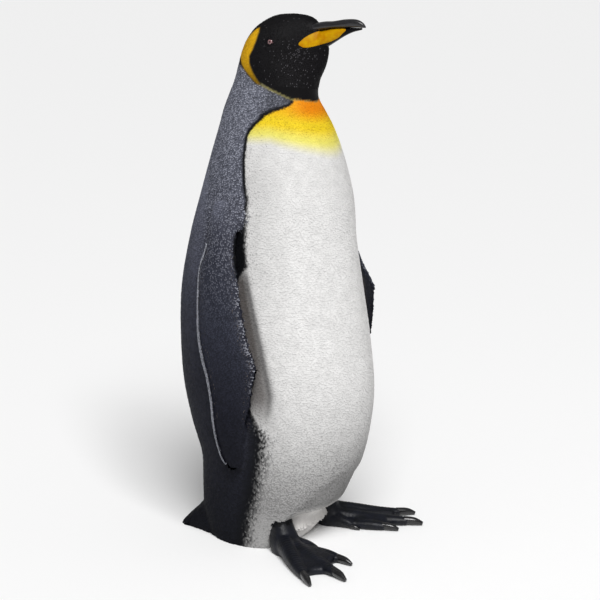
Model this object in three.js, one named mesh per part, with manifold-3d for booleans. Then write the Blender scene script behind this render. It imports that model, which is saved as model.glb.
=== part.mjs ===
// A life-size statue of a king penguin, standing upright with its flippers at its sides.
// Millimetres, +Z up. The bird faces -Y, so its right side is at -X. The floor is z = 0.
// The figure is shaped by lofts through named stations, then parted into its named pieces.
import * as THREE from "three";
import { mergeVertices } from "three/addons/utils/BufferGeometryUtils.js";
import Module from "manifold-3d";

const wasm = await Module();
wasm.setup();

// ---------------------------------------------------------------- driving sizes
const CROWN = 921; // floor to the top of the head
const GAP = 0.3; // clearance between pieces that meet
const REACH = 2000; // larger than the figure, for knives
const SIDES = { right: -1, left: 1 };

// The upright form from floor to crown. front and back are the depths ahead of and behind the
// upright axis, side is the half width; keel and spine say how square the front and back are.
const BODY = [
  { at: "floor", z: 0, front: 50, back: 131, side: 100, keel: 2.5, spine: 2.2 },
  { at: "ankle", z: 38, front: 81, back: 147, side: 101, keel: 2.5, spine: 2.2 },
  { at: "rump", z: 85, front: 118, back: 151, side: 105, keel: 2.4, spine: 2.2 },
  { at: "thigh", z: 145, front: 141, back: 151, side: 115, keel: 2.2, spine: 2.2 },
  { at: "flank", z: 205, front: 157, back: 172, side: 124, keel: 2.1, spine: 2.1 },
  { at: "belly", z: 275, front: 164, back: 187, side: 131, keel: 2.1, spine: 2.1 },
  { at: "waist", z: 375, front: 153, back: 191, side: 135, keel: 2.1, spine: 2.1 },
  { at: "ribs", z: 450, front: 143, back: 187, side: 133, keel: 1.96, spine: 2.1 },
  { at: "breast", z: 545, front: 128, back: 167, side: 126, keel: 1.93, spine: 2.1 },
  { at: "shoulder", z: 610, front: 121, back: 149, side: 115, keel: 2.1, spine: 2.1 },
  { at: "mantle", z: 680, front: 105, back: 130, side: 97, keel: 2.1, spine: 2.1 },
  { at: "collar", z: 735, front: 85, back: 115, side: 77, keel: 2.1, spine: 2.1 },
  { at: "bib", z: 757, front: 74, back: 110, side: 67, keel: 2.05, spine: 2.1 },
  { at: "throat", z: 781, front: 62, back: 101, side: 58, keel: 2.0, spine: 2.1 },
  { at: "nape", z: 808, front: 65.5, back: 90, side: 53, keel: 1.9, spine: 2.1 },
  { at: "jaw", z: 835, front: 79, back: 83, side: 49.5, keel: 1.75, spine: 2.1 },
  { at: "cheek", z: 856, front: 85, back: 77, side: 48, keel: 1.6, spine: 2.05 },
  { at: "eye", z: 876, front: 85.5, back: 67.5, side: 45.5, keel: 1.5, spine: 2.0 },
  { at: "brow", z: 896, front: 76, back: 51, side: 37, keel: 1.55, spine: 2.0 },
  { at: "forehead", z: 909, front: 65.5, back: 32, side: 26, keel: 1.75, spine: 2.0 },
  { at: "poll", z: 917, front: 51, back: 13, side: 16, keel: 1.9, spine: 2.0 },
  { at: "crown", z: CROWN, front: 22, back: -20, side: 1, keel: 2.0, spine: 2.0 },
];
const BODY_ROWS = 32;
const LOW_ROWS = 3; // the lowest rows, each of which has another halfway above it
// Columns on each side of the body, in front of and behind the crease on the flank.
const COLUMNS = { front: 8, rear: 7 };

// Two folds run down and out from the middle of the belly to the ankles, and the apron of
// plumage between them is set back from the thighs, most of all under the belly.
const APRON = { depth: 9, top: 175, full: 95, edge: 20 };
const LOBE = { depth: 15, bottom: 34, low: 48, high: 58, top: 76 };
const FOLD = [
  { z: 50, azimuth: 43 },
  { z: 80, azimuth: 39 },
  { z: 119, azimuth: 27 },
  { z: 150, azimuth: 12 },
];

// The flank is hollow under each flipper, behind a crease in the white plumage. Columns of
// the body's mesh follow the crease.
const HOLLOW = { depth: 10, top: 600, bottom: 215, rear: 118, edge: 12, closing: 45, opening: 80, back: 15 };
const CREASE = [
  { z: 150, azimuth: 66 },
  { z: 230, azimuth: 61 },
  { z: 290, azimuth: 58 },
  { z: 382, azimuth: 65 },
  { z: 515, azimuth: 78 },
  { z: 590, azimuth: 82 },
];

// Each flipper hangs from the shoulder. drop is the distance below it; lead and trail are the
// edges, behind the axis; out is how far the edges stand from the shoulder, and camber how
// much further the middle does.
const SHOULDER = { x: 104, y: 32, z: 640 };
const FLIPPER = [
  { at: "root", drop: 0, lead: -24, trail: 40, out: -26, camber: 6, thick: 18 },
  { at: "shoulder", drop: 30, lead: -33, trail: 42, out: 6, camber: 7, thick: 19 },
  { at: "point", drop: 46, lead: -33, trail: 44, out: 14, camber: 8, thick: 18 },
  { at: "armpit", drop: 62, lead: -19, trail: 44, out: 19, camber: 8, thick: 17 },
  { at: "arm", drop: 98, lead: -15, trail: 44, out: 25, camber: 9, thick: 16 },
  { at: "elbow", drop: 135, lead: -20, trail: 55, out: 29, camber: 9, thick: 14.5 },
  { at: "forearm", drop: 179, lead: -26, trail: 59, out: 31, camber: 9, thick: 13.5 },
  { at: "middle", drop: 222, lead: -34, trail: 60.5, out: 31, camber: 9, thick: 12.5 },
  { at: "wrist", drop: 256, lead: -42, trail: 60, out: 31, camber: 9, thick: 12 },
  { at: "bulge", drop: 284, lead: -53, trail: 56, out: 31, camber: 8.5, thick: 12 },
  { at: "corner", drop: 301, lead: -58, trail: 52, out: 31, camber: 8, thick: 11.5 },
  { at: "palm", drop: 318, lead: -54, trail: 46.5, out: 31, camber: 8, thick: 11 },
  { at: "hand", drop: 340, lead: -49, trail: 41, out: 31, camber: 7, thick: 10.5 },
  { at: "fingers", drop: 370, lead: -44, trail: 36.5, out: 30, camber: 6, thick: 10 },
  { at: "taper", drop: 412, lead: -35, trail: 34, out: 27, camber: 5, thick: 9 },
  { at: "near tip", drop: 454, lead: -27, trail: 27, out: 22, camber: 4, thick: 8 },
  { at: "round", drop: 476, lead: -21, trail: 18, out: 20, camber: 2.5, thick: 7 },
  { at: "tip", drop: 488, lead: -14, trail: 6, out: 19, camber: 1, thick: 5 },
];
const FLIPPER_COLUMNS = 14;
const FLIPPER_ROWS = 21;
const FLIPPER_SWELL = 0.25; // how much thicker it is towards its leading edge
// How each flipper is held: lifted sideways, swung forward and twisted about its own length,
// in degrees, and how far its shoulder is thrust out and ahead.
const HELD = {
  right: { lift: 0, swing: 0, twist: 0, out: 0, ahead: 0 },
  left: { lift: 33.6, swing: -6.6, twist: -17.8, out: 8.7, ahead: 32.4 },
};
const FLIPPER_AXIS = { x: 10, y: 5 }; // where a flipper's length runs, from its shoulder

// The tail is a broad blunt wedge, flat on the floor.
const TAIL = [
  { at: "root", y: 60, half: 80, high: 116 },
  { at: "rump", y: 105, half: 77, high: 92 },
  { at: "middle", y: 136, half: 71, high: 60 },
  { at: "blade", y: 162, half: 64, high: 31 },
  { at: "edge", y: 176, half: 57, high: 16 },
];

// The bill, by distance ahead of the axis. The mouth line parts upper from lower.
const BILL_UPPER = [
  { at: "gape", ahead: 30, high: 902, low: 874, half: 19 },
  { at: "base", ahead: 62, high: 909, low: 891, half: 15.5 },
  { at: "middle", ahead: 91, high: 910.5, low: 898.5, half: 10.5 },
  { at: "fore", ahead: 118, high: 915, low: 901, half: 8 },
  { at: "hook", ahead: 138, high: 915, low: 902.5, half: 6 },
  { at: "nail", ahead: 148, high: 910.5, low: 902.5, half: 3.8 },
  { at: "point", ahead: 153, high: 905, low: 902.5, half: 1.2 },
];
const BILL_LOWER = [
  { at: "gape", ahead: 30, high: 873.5, low: 846, half: 20 },
  { at: "base", ahead: 62, high: 890.5, low: 858, half: 17 },
  { at: "chin", ahead: 86, high: 897, low: 870, half: 12.5 },
  { at: "middle", ahead: 100, high: 899.5, low: 878.5, half: 9.5 },
  { at: "fore", ahead: 114, high: 900.7, low: 887, half: 7 },
  { at: "slim", ahead: 130, high: 901.8, low: 894.5, half: 5 },
  { at: "point", ahead: 146, high: 902.2, low: 899, half: 2.5 },
];

// The coloured plate on each side of the lower bill, seen from the side: its middle line and
// half height along its length.
const PLATE = [
  { ahead: 47, z: 874, half: 1.5 },
  { ahead: 54, z: 876, half: 7.5 },
  { ahead: 66, z: 880.5, half: 11.3 },
  { ahead: 79, z: 885, half: 11.2 },
  { ahead: 96, z: 890.5, half: 8.8 },
  { ahead: 110, z: 895, half: 5.2 },
  { ahead: 119.5, z: 898, half: 1.2 },
];
const PLATE_THICK = 1.4;
const PLATE_STEPS = 6; // straight pieces along each edge of its outline
const BILL_MESH = { columns: 12, rows: 12, square: 2.3 };

const EYE = { ahead: -0.5, z: 876, radius: 5.2, proud: 1.5, columns: 10, rows: 7 };

// Each foot, in its own frame: ahead along the foot, out to the bird's outer side.
const ANKLE = { x: 76, ahead: 47, splay: 24.6 };
const TARSUS_OUT = 3; // how far the tarsus stands to the outer side of the middle toe
const TARSUS = [
  { z: 0, ahead: 10, long: 31, wide: 26 },
  { z: 18, ahead: 5, long: 28, wide: 26 },
  { z: 34, ahead: -2, long: 24, wide: 22 },
  { z: 50, ahead: -9, long: 21, wide: 19 },
  { z: 66, ahead: -15, long: 15, wide: 15 },
];
const TOES = {
  outer: [
    { ahead: 0, out: 8, z: 20, wide: 15, high: 21 },
    { ahead: 45, out: 24, z: 15, wide: 14, high: 16 },
    { ahead: 92, out: 40, z: 9.5, wide: 12, high: 10.5 },
    { ahead: 127, out: 51, z: 7.5, wide: 8.5, high: 7 },
  ],
  middle: [
    { ahead: 0, out: 0, z: 16, wide: 16, high: 17 },
    { ahead: 50, out: 0, z: 12, wide: 15, high: 14 },
    { ahead: 102, out: 0, z: 9, wide: 13, high: 10.5 },
    { ahead: 145, out: 0, z: 8, wide: 9, high: 7.5 },
  ],
  inner: [
    { ahead: 0, out: -10, z: 9, wide: 14, high: 10.5 },
    { ahead: 40, out: -24, z: 7.5, wide: 12.5, high: 9 },
    { ahead: 76, out: -36, z: 8, wide: 11, high: 9 },
    { ahead: 101, out: -43, z: 7, wide: 8, high: 7 },
  ],
  hind: [
    { ahead: 12, out: -18, z: 15, wide: 9, high: 10 },
    { ahead: 30, out: -30, z: 12, wide: 7.5, high: 8 },
    { ahead: 43, out: -37, z: 8, wide: 5, high: 5.5 },
  ],
};
const CLAWS = {
  outer: [
    { ahead: 121, out: 49.5, z: 9, wide: 7, high: 7 },
    { ahead: 141, out: 56, z: 7.5, wide: 5.8, high: 6.2 },
    { ahead: 154, out: 59.5, z: 3.8, wide: 2.6, high: 3.2 },
  ],
  middle: [
    { ahead: 138, out: 0, z: 9.5, wide: 7.4, high: 7.4 },
    { ahead: 158, out: 0, z: 8, wide: 6.2, high: 6.6 },
    { ahead: 172, out: 0, z: 4, wide: 2.8, high: 3.4 },
  ],
  inner: [
    { ahead: 95, out: -41.5, z: 8.5, wide: 6.8, high: 6.6 },
    { ahead: 112, out: -46.5, z: 7.2, wide: 5.6, high: 5.8 },
    { ahead: 124, out: -50, z: 3.6, wide: 2.6, high: 3 },
  ],
  hind: [
    { ahead: 40, out: -36.5, z: 6.5, wide: 4, high: 4.2 },
    { ahead: 48, out: -40.5, z: 5, wide: 3.2, high: 3.4 },
    { ahead: 55, out: -43.5, z: 2, wide: 1.3, high: 1.6 },
  ],
};
// How far each foot's side toes close towards its middle toe, in degrees.
const CLOSED = { right: { outer: 0, inner: 0 }, left: { outer: 3, inner: 8 } };
// The web's height at the ankle and how fast it falls ahead, and its scooped front edge.
const WEB = { high: 22, fall: 0.1, short: 0.93, notch: 0.84, behind: 10 };
const FOOT_SQUARE = 2.2; // how square the sections of the toes, claws and tarsus are
const TOE_MESH = { columns: 9, rows: 5 };
const CLAW_MESH = { columns: 8, rows: 5 };

// Where the plumage is parted into pieces.
const HOOD_CUT = { z: 803, ahead: -12, slope: 20.5 }; // the hood's lower edge, higher at the nape
const NECK_CUT = { z: 700, ahead: 0, slope: 8 };
const LEG_REGION = { x: 66, ahead: 60, z: 62, wide: 47, long: 56, high: 78, square: 2 };
// The plumage arches over each ankle, clear of it. square says how square the arch's profile is.
const ARCH = { x: 80, ahead: 62, z: 0, wide: 31, long: 42, high: 50, square: 3.5 };
const REGION_MESH = { columns: 12, rows: 8 };

// ---------------------------------------------------------------- shape helpers
const radians = THREE.MathUtils.degToRad;
const smoothstep = THREE.MathUtils.smoothstep;

// A smooth reading of a table of stations. The first named keys say how far apart they are.
function smoothTable(stations, keys, spacing = keys.slice(0, 2)) {
  const steps = [0];
  for (let i = 1; i < stations.length; i += 1) {
    const jumps = spacing.map((key) => stations[i][key] - stations[i - 1][key]);
    steps.push(steps[i - 1] + Math.hypot(...jumps));
  }
  const values = stations.flatMap((station) => keys.map((key) => station[key]));
  const reader = new THREE.CubicInterpolant(steps, values, keys.length);
  const length = steps[steps.length - 1];
  return (share) => {
    const found = reader.evaluate(THREE.MathUtils.clamp(share, 0, 1) * length);
    return Object.fromEntries(keys.map((key, i) => [key, found[i]]));
  };
}

// A straight-line reading of one key of a table against another.
function readAgainst(stations, key, against, at) {
  const last = stations.length - 1;
  if (at <= stations[0][against]) return stations[0][key];
  if (at >= stations[last][against]) return stations[last][key];
  const i = stations.findIndex((station) => station[against] > at);
  const share = (at - stations[i - 1][against]) / (stations[i][against] - stations[i - 1][against]);
  return THREE.MathUtils.lerp(stations[i - 1][key], stations[i][key], share);
}

// A closed geometry from rings of points: columns round, rings along, and a fan at each end.
function loft(rings) {
  const columns = rings[0].length;
  const points = rings.flat();
  const centre = (ring) => ring.reduce((sum, p) => sum.add(p), new THREE.Vector3()).divideScalar(columns);
  const start = points.push(centre(rings[0])) - 1;
  const end = points.push(centre(rings[rings.length - 1])) - 1;
  const faces = [];
  for (let r = 0; r < rings.length - 1; r += 1) {
    for (let c = 0; c < columns; c += 1) {
      const a = r * columns + c;
      const b = r * columns + ((c + 1) % columns);
      faces.push(a, b, b + columns, a, b + columns, a + columns);
    }
  }
  const last = (rings.length - 1) * columns;
  for (let c = 0; c < columns; c += 1) {
    const next = (c + 1) % columns;
    faces.push(start, next, c, end, last + c, last + next);
  }
  const geometry = new THREE.BufferGeometry();
  const position = points.flatMap((p) => [p.x, p.y, p.z]);
  geometry.setAttribute("position", new THREE.Float32BufferAttribute(position, 3));
  geometry.setIndex(faces);
  return geometry;
}

// three.js geometry to a manifold-3d solid, whichever way its faces were wound, and back.
function solid(geometry) {
  const bare = geometry.clone();
  bare.deleteAttribute("normal");
  bare.deleteAttribute("uv");
  const merged = mergeVertices(bare, 1e-4);
  const build = (faces) =>
    new wasm.Manifold(
      new wasm.Mesh({
        numProp: 3,
        vertProperties: new Float32Array(merged.attributes.position.array),
        triVerts: new Uint32Array(faces),
      }),
    );
  const faces = Array.from(merged.index.array);
  const made = build(faces);
  return made.volume() > 0 ? made : build(faces.reverse());
}

function geometryOf(made) {
  const mesh = made.getMesh();
  const geometry = new THREE.BufferGeometry();
  geometry.setAttribute("position", new THREE.Float32BufferAttribute(mesh.vertProperties, 3));
  geometry.setIndex(Array.from(mesh.triVerts));
  geometry.computeVertexNormals();
  return geometry;
}

// One ring round a middle point, across and up being the half widths as vectors. power says
// how square it is.
function oval(middle, across, up, columns, power = 2) {
  return Array.from({ length: columns }, (_, c) => {
    const turn = (c / columns) * 2 * Math.PI;
    const [cosine, sine] = [Math.cos(turn), Math.sin(turn)];
    const radius = (Math.abs(cosine) ** power + Math.abs(sine) ** power) ** (-1 / power);
    return middle
      .clone()
      .addScaledVector(across, radius * cosine)
      .addScaledVector(up, radius * sine);
  });
}

// Everything on one side of a plane through a point.
function halfSpace(point, normal) {
  const box = new THREE.BoxGeometry(REACH, REACH, REACH);
  box.translate(0, 0, REACH / 2);
  box.applyQuaternion(new THREE.Quaternion().setFromUnitVectors(new THREE.Vector3(0, 0, 1), normal));
  box.translate(point.x, point.y, point.z);
  return solid(box);
}

// A round region of the figure, which parts it or hollows it.
function regionForm(region, side, grow) {
  const { columns, rows } = REGION_MESH;
  const power = region.square;
  const profile = Array.from({ length: rows + 1 }, (_, i) => {
    const turn = (i / rows - 0.5) * Math.PI;
    const [across, up] = [Math.cos(turn), Math.sin(turn)];
    const reach = (across ** power + Math.abs(up) ** power) ** (-1 / power);
    return new THREE.Vector2(i % rows === 0 ? 0 : across * reach, up * reach);
  });
  const form = new THREE.LatheGeometry(profile, columns);
  form.rotateX(Math.PI / 2);
  form.scale(region.wide + grow, region.long + grow, region.high + grow);
  form.translate(SIDES[side] * region.x, -region.ahead, region.z);
  return solid(form);
}

function union(...solids) {
  return solids.reduce((joined, next) => joined.add(next));
}

// ---------------------------------------------------------------- the upright form
const readBody = smoothTable(BODY, ["z", "front", "back", "side", "keel", "spine"]);

// How far the plumage is set in at an azimuth from the front, in degrees, and a height.
function setIn(azimuth, z) {
  const turn = Math.abs(azimuth);
  const fold = readAgainst(FOLD, "azimuth", "z", z);
  const apron = smoothstep(fold - turn, -APRON.edge / 2, APRON.edge / 2);
  const low = 1 - smoothstep(z, APRON.full, APRON.top);
  const crease = readAgainst(CREASE, "azimuth", "z", z);
  const lobe = LOBE.depth * smoothstep(z, LOBE.bottom, LOBE.low) * (1 - smoothstep(z, LOBE.high, LOBE.top));
  const behind = smoothstep(turn, crease, crease + HOLLOW.edge);
  const ahead = 1 - smoothstep(turn, HOLLOW.rear - HOLLOW.back, HOLLOW.rear);
  const above = smoothstep(z, HOLLOW.bottom, HOLLOW.bottom + HOLLOW.opening);
  const below = 1 - smoothstep(z, HOLLOW.top - HOLLOW.closing, HOLLOW.top);
  return apron * (APRON.depth * low + lobe) + HOLLOW.depth * behind * ahead * above * below;
}

// The azimuths of the body's columns at a height, once round from the front.
function azimuthsAt(z) {
  const crease = readAgainst(CREASE, "azimuth", "z", z);
  const rear = crease + HOLLOW.edge;
  const ahead = Array.from({ length: COLUMNS.front }, (_, i) => (crease * (i + 1)) / COLUMNS.front);
  const behind = Array.from({ length: COLUMNS.rear }, (_, i) => rear + ((180 - rear) * i) / COLUMNS.rear);
  const left = [...ahead, ...behind];
  return [0, ...left, 180, ...left.map((azimuth) => -azimuth).reverse()];
}

function bodyRing(share, grow) {
  const at = readBody(share);
  const middle = (at.back - at.front) / 2;
  const depth = (at.back + at.front) / 2;
  return azimuthsAt(at.z).map((azimuth) => {
    const across = Math.sin(radians(azimuth));
    const along = -Math.cos(radians(azimuth));
    const power = along < 0 ? at.keel : at.spine;
    const reach = (Math.abs(across) / at.side) ** power + (Math.abs(along) / depth) ** power;
    const radius = reach ** (-1 / power) + grow - setIn(azimuth, at.z);
    return new THREE.Vector3(radius * across, middle + radius * along, at.z);
  });
}

function bodyForm(grow = 0) {
  const rows = Array.from({ length: BODY_ROWS }, (_, r) => (r < LOW_ROWS ? [r, r + 0.5] : [r])).flat();
  const rings = rows.map((r) => bodyRing(r / (BODY_ROWS - 1), grow));
  if (grow > 0) {
    rings[0].forEach((p) => p.setZ(-grow));
    rings[rings.length - 1].forEach((p) => p.setZ(CROWN + grow));
  }
  return solid(loft(rings));
}

// ---------------------------------------------------------------- flippers
const readFlipper = smoothTable(
  FLIPPER,
  ["drop", "lead", "trail", "out", "camber", "thick"],
  ["drop"],
);

// A blade whose section is a cambered lens, thicker towards the leading edge.
function flipperForm(side) {
  const { lift, swing, twist, out: thrust, ahead } = HELD[side];
  const hold = new THREE.Matrix4()
    .makeTranslation(SHOULDER.x + thrust, SHOULDER.y - ahead, SHOULDER.z)
    .multiply(new THREE.Matrix4().makeRotationY(-radians(lift)))
    .multiply(new THREE.Matrix4().makeRotationX(-radians(swing)))
    .multiply(new THREE.Matrix4().makeTranslation(FLIPPER_AXIS.x, FLIPPER_AXIS.y, 0))
    .multiply(new THREE.Matrix4().makeRotationZ(radians(twist)))
    .multiply(new THREE.Matrix4().makeTranslation(-FLIPPER_AXIS.x, -FLIPPER_AXIS.y, 0));
  const rings = Array.from({ length: FLIPPER_ROWS }, (_, r) => {
    const at = readFlipper(r / (FLIPPER_ROWS - 1));
    return Array.from({ length: FLIPPER_COLUMNS }, (_, c) => {
      const turn = (c / FLIPPER_COLUMNS) * 2 * Math.PI;
      const along = Math.cos(turn);
      const middle = (at.lead + at.trail) / 2 + ((at.trail - at.lead) / 2) * along;
      const swell = 1 - FLIPPER_SWELL * along;
      const out = at.out + at.camber * (1 - along ** 2) + (at.thick / 2) * swell * Math.sin(turn);
      return new THREE.Vector3(out, middle, -at.drop).applyMatrix4(hold).multiply(
        new THREE.Vector3(SIDES[side], 1, 1),
      );
    });
  });
  return solid(loft(rings));
}

// ---------------------------------------------------------------- tail
const readTail = smoothTable(TAIL, ["y", "half", "high"]);
const TAIL_SQUARE = 2.6; // how square its section is

function tailForm() {
  const rows = 9;
  const columns = 20;
  const rings = Array.from({ length: rows }, (_, r) => {
    const at = readTail(r / (rows - 1));
    const middle = new THREE.Vector3(0, at.y, 0);
    const across = new THREE.Vector3(at.half, 0, 0);
    return oval(middle, across, new THREE.Vector3(0, 0, at.high), columns, TAIL_SQUARE);
  });
  return solid(loft(rings));
}

// ---------------------------------------------------------------- bill, plates and eyes
function mandible(stations, grow = 0) {
  const read = smoothTable(stations, ["ahead", "high", "low", "half"]);
  const { columns, rows, square } = BILL_MESH;
  const rings = Array.from({ length: rows }, (_, r) => {
    const at = read(r / (rows - 1));
    const middle = new THREE.Vector3(0, -at.ahead, (at.high + at.low) / 2);
    const up = new THREE.Vector3(0, 0, (at.high - at.low) / 2 + grow);
    return oval(middle, new THREE.Vector3(at.half + grow, 0, 0), up, columns, square);
  });
  return solid(loft(rings));
}

// A slab with the plate's outline, reaching out from the middle of the bird.
function plateSlab(side) {
  const read = smoothTable(PLATE, ["ahead", "z", "half"]);
  const edge = (sign) =>
    Array.from({ length: PLATE_STEPS + 1 }, (_, i) => {
      const at = read(i / PLATE_STEPS);
      return new THREE.Vector2(at.ahead, at.z + sign * at.half);
    });
  const outline = new THREE.Shape([...edge(1), ...edge(-1).reverse()]);
  const slab = new THREE.ExtrudeGeometry(outline, { depth: REACH, bevelEnabled: false });
  // The outline is drawn ahead and up, and its thickness runs out to the side.
  slab.applyMatrix4(
    new THREE.Matrix4().makeBasis(
      new THREE.Vector3(0, -1, 0),
      new THREE.Vector3(0, 0, 1),
      new THREE.Vector3(SIDES[side], 0, 0),
    ),
  );
  return solid(slab);
}

// How far out the head's surface is at the eye.
function headHalfWidth(ahead, station) {
  const middle = (station.front - station.back) / 2;
  const depth = (station.front + station.back) / 2;
  const power = ahead > middle ? station.keel : station.spine;
  return station.side * (1 - Math.abs((ahead - middle) / depth) ** power) ** (1 / power);
}

function eyeForm(side, grow = 0) {
  const ball = new THREE.SphereGeometry(EYE.radius + grow, EYE.columns, EYE.rows);
  const station = BODY.find((at) => at.at === "eye");
  const depth = headHalfWidth(EYE.ahead, station) - EYE.radius + EYE.proud;
  ball.translate(SIDES[side] * depth, -EYE.ahead, EYE.z);
  return solid(ball);
}

// ---------------------------------------------------------------- feet
const readTarsus = smoothTable(TARSUS, ["z", "ahead", "long", "wide"]);

// A toe's stations, turned towards the middle toe as that foot holds it.
function heldToe(stations, toe, side) {
  const { outer, inner } = CLOSED[side];
  const turn = radians({ outer, middle: 0, inner: -inner, hind: -inner }[toe]);
  return stations.map((p) => ({
    ...p,
    ahead: p.ahead * Math.cos(turn) + p.out * Math.sin(turn),
    out: p.out * Math.cos(turn) - p.ahead * Math.sin(turn),
  }));
}

// A tapering toe or claw with a rounded section, along stations in the foot's own frame.
function limb(stations, { columns, rows }, grow = 0) {
  const read = smoothTable(stations, ["ahead", "out", "z", "wide", "high"]);
  const at = Array.from({ length: rows }, (_, r) => read(r / (rows - 1)));
  const points = at.map((p) => new THREE.Vector3(p.out, p.ahead, p.z));
  const upward = new THREE.Vector3(0, 0, 1);
  return loft(
    at.map((p, r) => {
      const ahead = points[Math.min(r + 1, rows - 1)].clone().sub(points[Math.max(r - 1, 0)]).normalize();
      const across = ahead.clone().cross(upward).normalize();
      const up = across.clone().cross(ahead);
      across.multiplyScalar(p.wide + grow);
      up.multiplyScalar(p.high + grow);
      return oval(points[r], across, up, columns, FOOT_SQUARE);
    }),
  );
}

// From a foot's own frame, where y is ahead and x is out, to the figure's.
function placeFoot(geometry, side) {
  const turn = radians(ANKLE.splay);
  const ahead = new THREE.Vector3(SIDES[side] * Math.sin(turn), -Math.cos(turn), 0);
  const out = new THREE.Vector3(SIDES[side] * Math.cos(turn), Math.sin(turn), 0);
  const place = new THREE.Matrix4()
    .makeBasis(out, ahead, new THREE.Vector3(0, 0, 1))
    .setPosition(SIDES[side] * ANKLE.x, -ANKLE.ahead, 0);
  return solid(geometry.applyMatrix4(place));
}

function tarsusGeometry() {
  const rows = 5;
  const columns = 12;
  return loft(
    Array.from({ length: rows }, (_, r) => {
      const at = readTarsus(r / (rows - 1));
      const middle = new THREE.Vector3(TARSUS_OUT, at.ahead, at.z);
      const along = new THREE.Vector3(0, at.long, 0);
      return oval(middle, new THREE.Vector3(at.wide, 0, 0), along, columns, FOOT_SQUARE);
    }),
  );
}

// The web is a low wedge between the toes, scooped back between their ends.
function webGeometry(side) {
  const tip = (toe) => {
    const at = heldToe(TOES[toe], toe, side).at(-1);
    return new THREE.Vector2(at.out, at.ahead);
  };
  const [outer, middle, inner] = [tip("outer"), tip("middle"), tip("inner")];
  const notch = (a, b) => a.clone().lerp(b, 0.5).multiplyScalar(WEB.notch);
  const ends = [outer, middle, inner].map((p) => p.clone().multiplyScalar(WEB.short));
  const outline = new THREE.Shape();
  outline.moveTo(0, -WEB.behind);
  outline.lineTo(ends[0].x, ends[0].y);
  outline.quadraticCurveTo(...notch(outer, middle).toArray(), ends[1].x, ends[1].y);
  outline.quadraticCurveTo(...notch(inner, middle).toArray(), ends[2].x, ends[2].y);
  outline.closePath();
  const wedge = new THREE.ExtrudeGeometry(outline, { depth: 1, bevelEnabled: false, curveSegments: 4 });
  const corners = wedge.attributes.position;
  for (let i = 0; i < corners.count; i += 1) {
    corners.setZ(i, corners.getZ(i) * (WEB.high - WEB.fall * corners.getY(i)));
  }
  return wedge;
}

// ---------------------------------------------------------------- the whole figure
const BLACK = 0x17181b;
const SLATE = 0x3c4048;
const WHITE = 0xe6e4e0;
const ORANGE = 0xe59a17;
const FOOT_BLACK = 0x1d2026;
const EYE_BROWN = 0x30201c;

// The body's plumage, hollowed under the arches over its ankles.
function plumageForm(grow = 0) {
  return Object.keys(SIDES).reduce(
    (form, side) => form.subtract(regionForm(ARCH, side, -grow)),
    bodyForm(grow),
  );
}

const plumage = plumageForm();
const plumageGrown = plumageForm(GAP);
const lowerBill = mandible(BILL_LOWER);
const lowerBillGrown = mandible(BILL_LOWER, GAP);
const upperBillGrown = mandible(BILL_UPPER, GAP);
const floor = halfSpace(new THREE.Vector3(), new THREE.Vector3(0, 0, 1));

const penguin = new THREE.Group();

function addPiece(name, made, colour, roughness) {
  const material = new THREE.MeshStandardMaterial({ color: colour, roughness, metalness: 0 });
  const mesh = new THREE.Mesh(geometryOf(made), material);
  mesh.name = name;
  penguin.add(mesh);
}

// A form's two sides of a cut that is level from side to side, a gap apart.
function cutAcross(form, cut) {
  const normal = new THREE.Vector3(0, -Math.sin(radians(cut.slope)), Math.cos(radians(cut.slope)));
  const point = new THREE.Vector3(0, -cut.ahead, cut.z);
  const above = halfSpace(point.clone().addScaledVector(normal, GAP / 2), normal);
  const below = halfSpace(point.clone().addScaledVector(normal, -GAP / 2), normal.clone().negate());
  return [form.intersect(above), form.intersect(below)];
}

// The plate keeps to a thin shell over the lower bill and the face behind it.
function plateForm(side) {
  const shell = union(mandible(BILL_LOWER, PLATE_THICK + GAP), bodyForm(PLATE_THICK + GAP));
  const beneath = union(lowerBillGrown, upperBillGrown, plumageGrown);
  return plateSlab(side).intersect(shell).subtract(beneath);
}

function addFoot(side) {
  const toes = Object.entries(TOES).map(([toe, stations]) =>
    placeFoot(limb(heldToe(stations, toe, side), TOE_MESH), side),
  );
  let foot = union(...toes, placeFoot(webGeometry(side), side), placeFoot(tarsusGeometry(), side));
  foot = foot.intersect(floor).subtract(plumageGrown);
  for (const [toe, stations] of Object.entries(CLAWS)) {
    const held = heldToe(stations, toe, side);
    const claw = placeFoot(limb(held, CLAW_MESH), side).intersect(floor);
    foot = foot.subtract(placeFoot(limb(held, CLAW_MESH, GAP), side));
    addPiece(`claw_${toe}_${side}`, claw, BLACK, 0.25);
  }
  addPiece(`foot_${side}`, foot, FOOT_BLACK, 0.55);
}

let [head, belowHead] = cutAcross(plumage, HOOD_CUT);
let [neck, trunk] = cutAcross(belowHead, NECK_CUT);
for (const side of Object.keys(SIDES)) {
  head = head.subtract(eyeForm(side, GAP));
  addPiece(`leg_${side}`, trunk.intersect(regionForm(LEG_REGION, side, 0)), WHITE, 0.7);
  trunk = trunk.subtract(regionForm(LEG_REGION, side, GAP));
}
addPiece("head", head, BLACK, 0.6);
addPiece("neck", neck, SLATE, 0.7);
addPiece("trunk", trunk, WHITE, 0.7);
addPiece("tail", tailForm().intersect(floor).subtract(plumageGrown), SLATE, 0.7);

const upperBill = mandible(BILL_UPPER).subtract(lowerBillGrown);
addPiece("bill_upper", upperBill.subtract(plumageGrown), BLACK, 0.4);
addPiece("bill_lower", lowerBill.subtract(plumageGrown), BLACK, 0.4);
for (const side of Object.keys(SIDES)) {
  addPiece(`bill_plate_${side}`, plateForm(side), ORANGE, 0.4);
  addPiece(`eye_${side}`, eyeForm(side), EYE_BROWN, 0.2);
  addPiece(`flipper_${side}`, flipperForm(side).subtract(plumageGrown), SLATE, 0.7);
  addFoot(side);
}

export default penguin;
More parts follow.
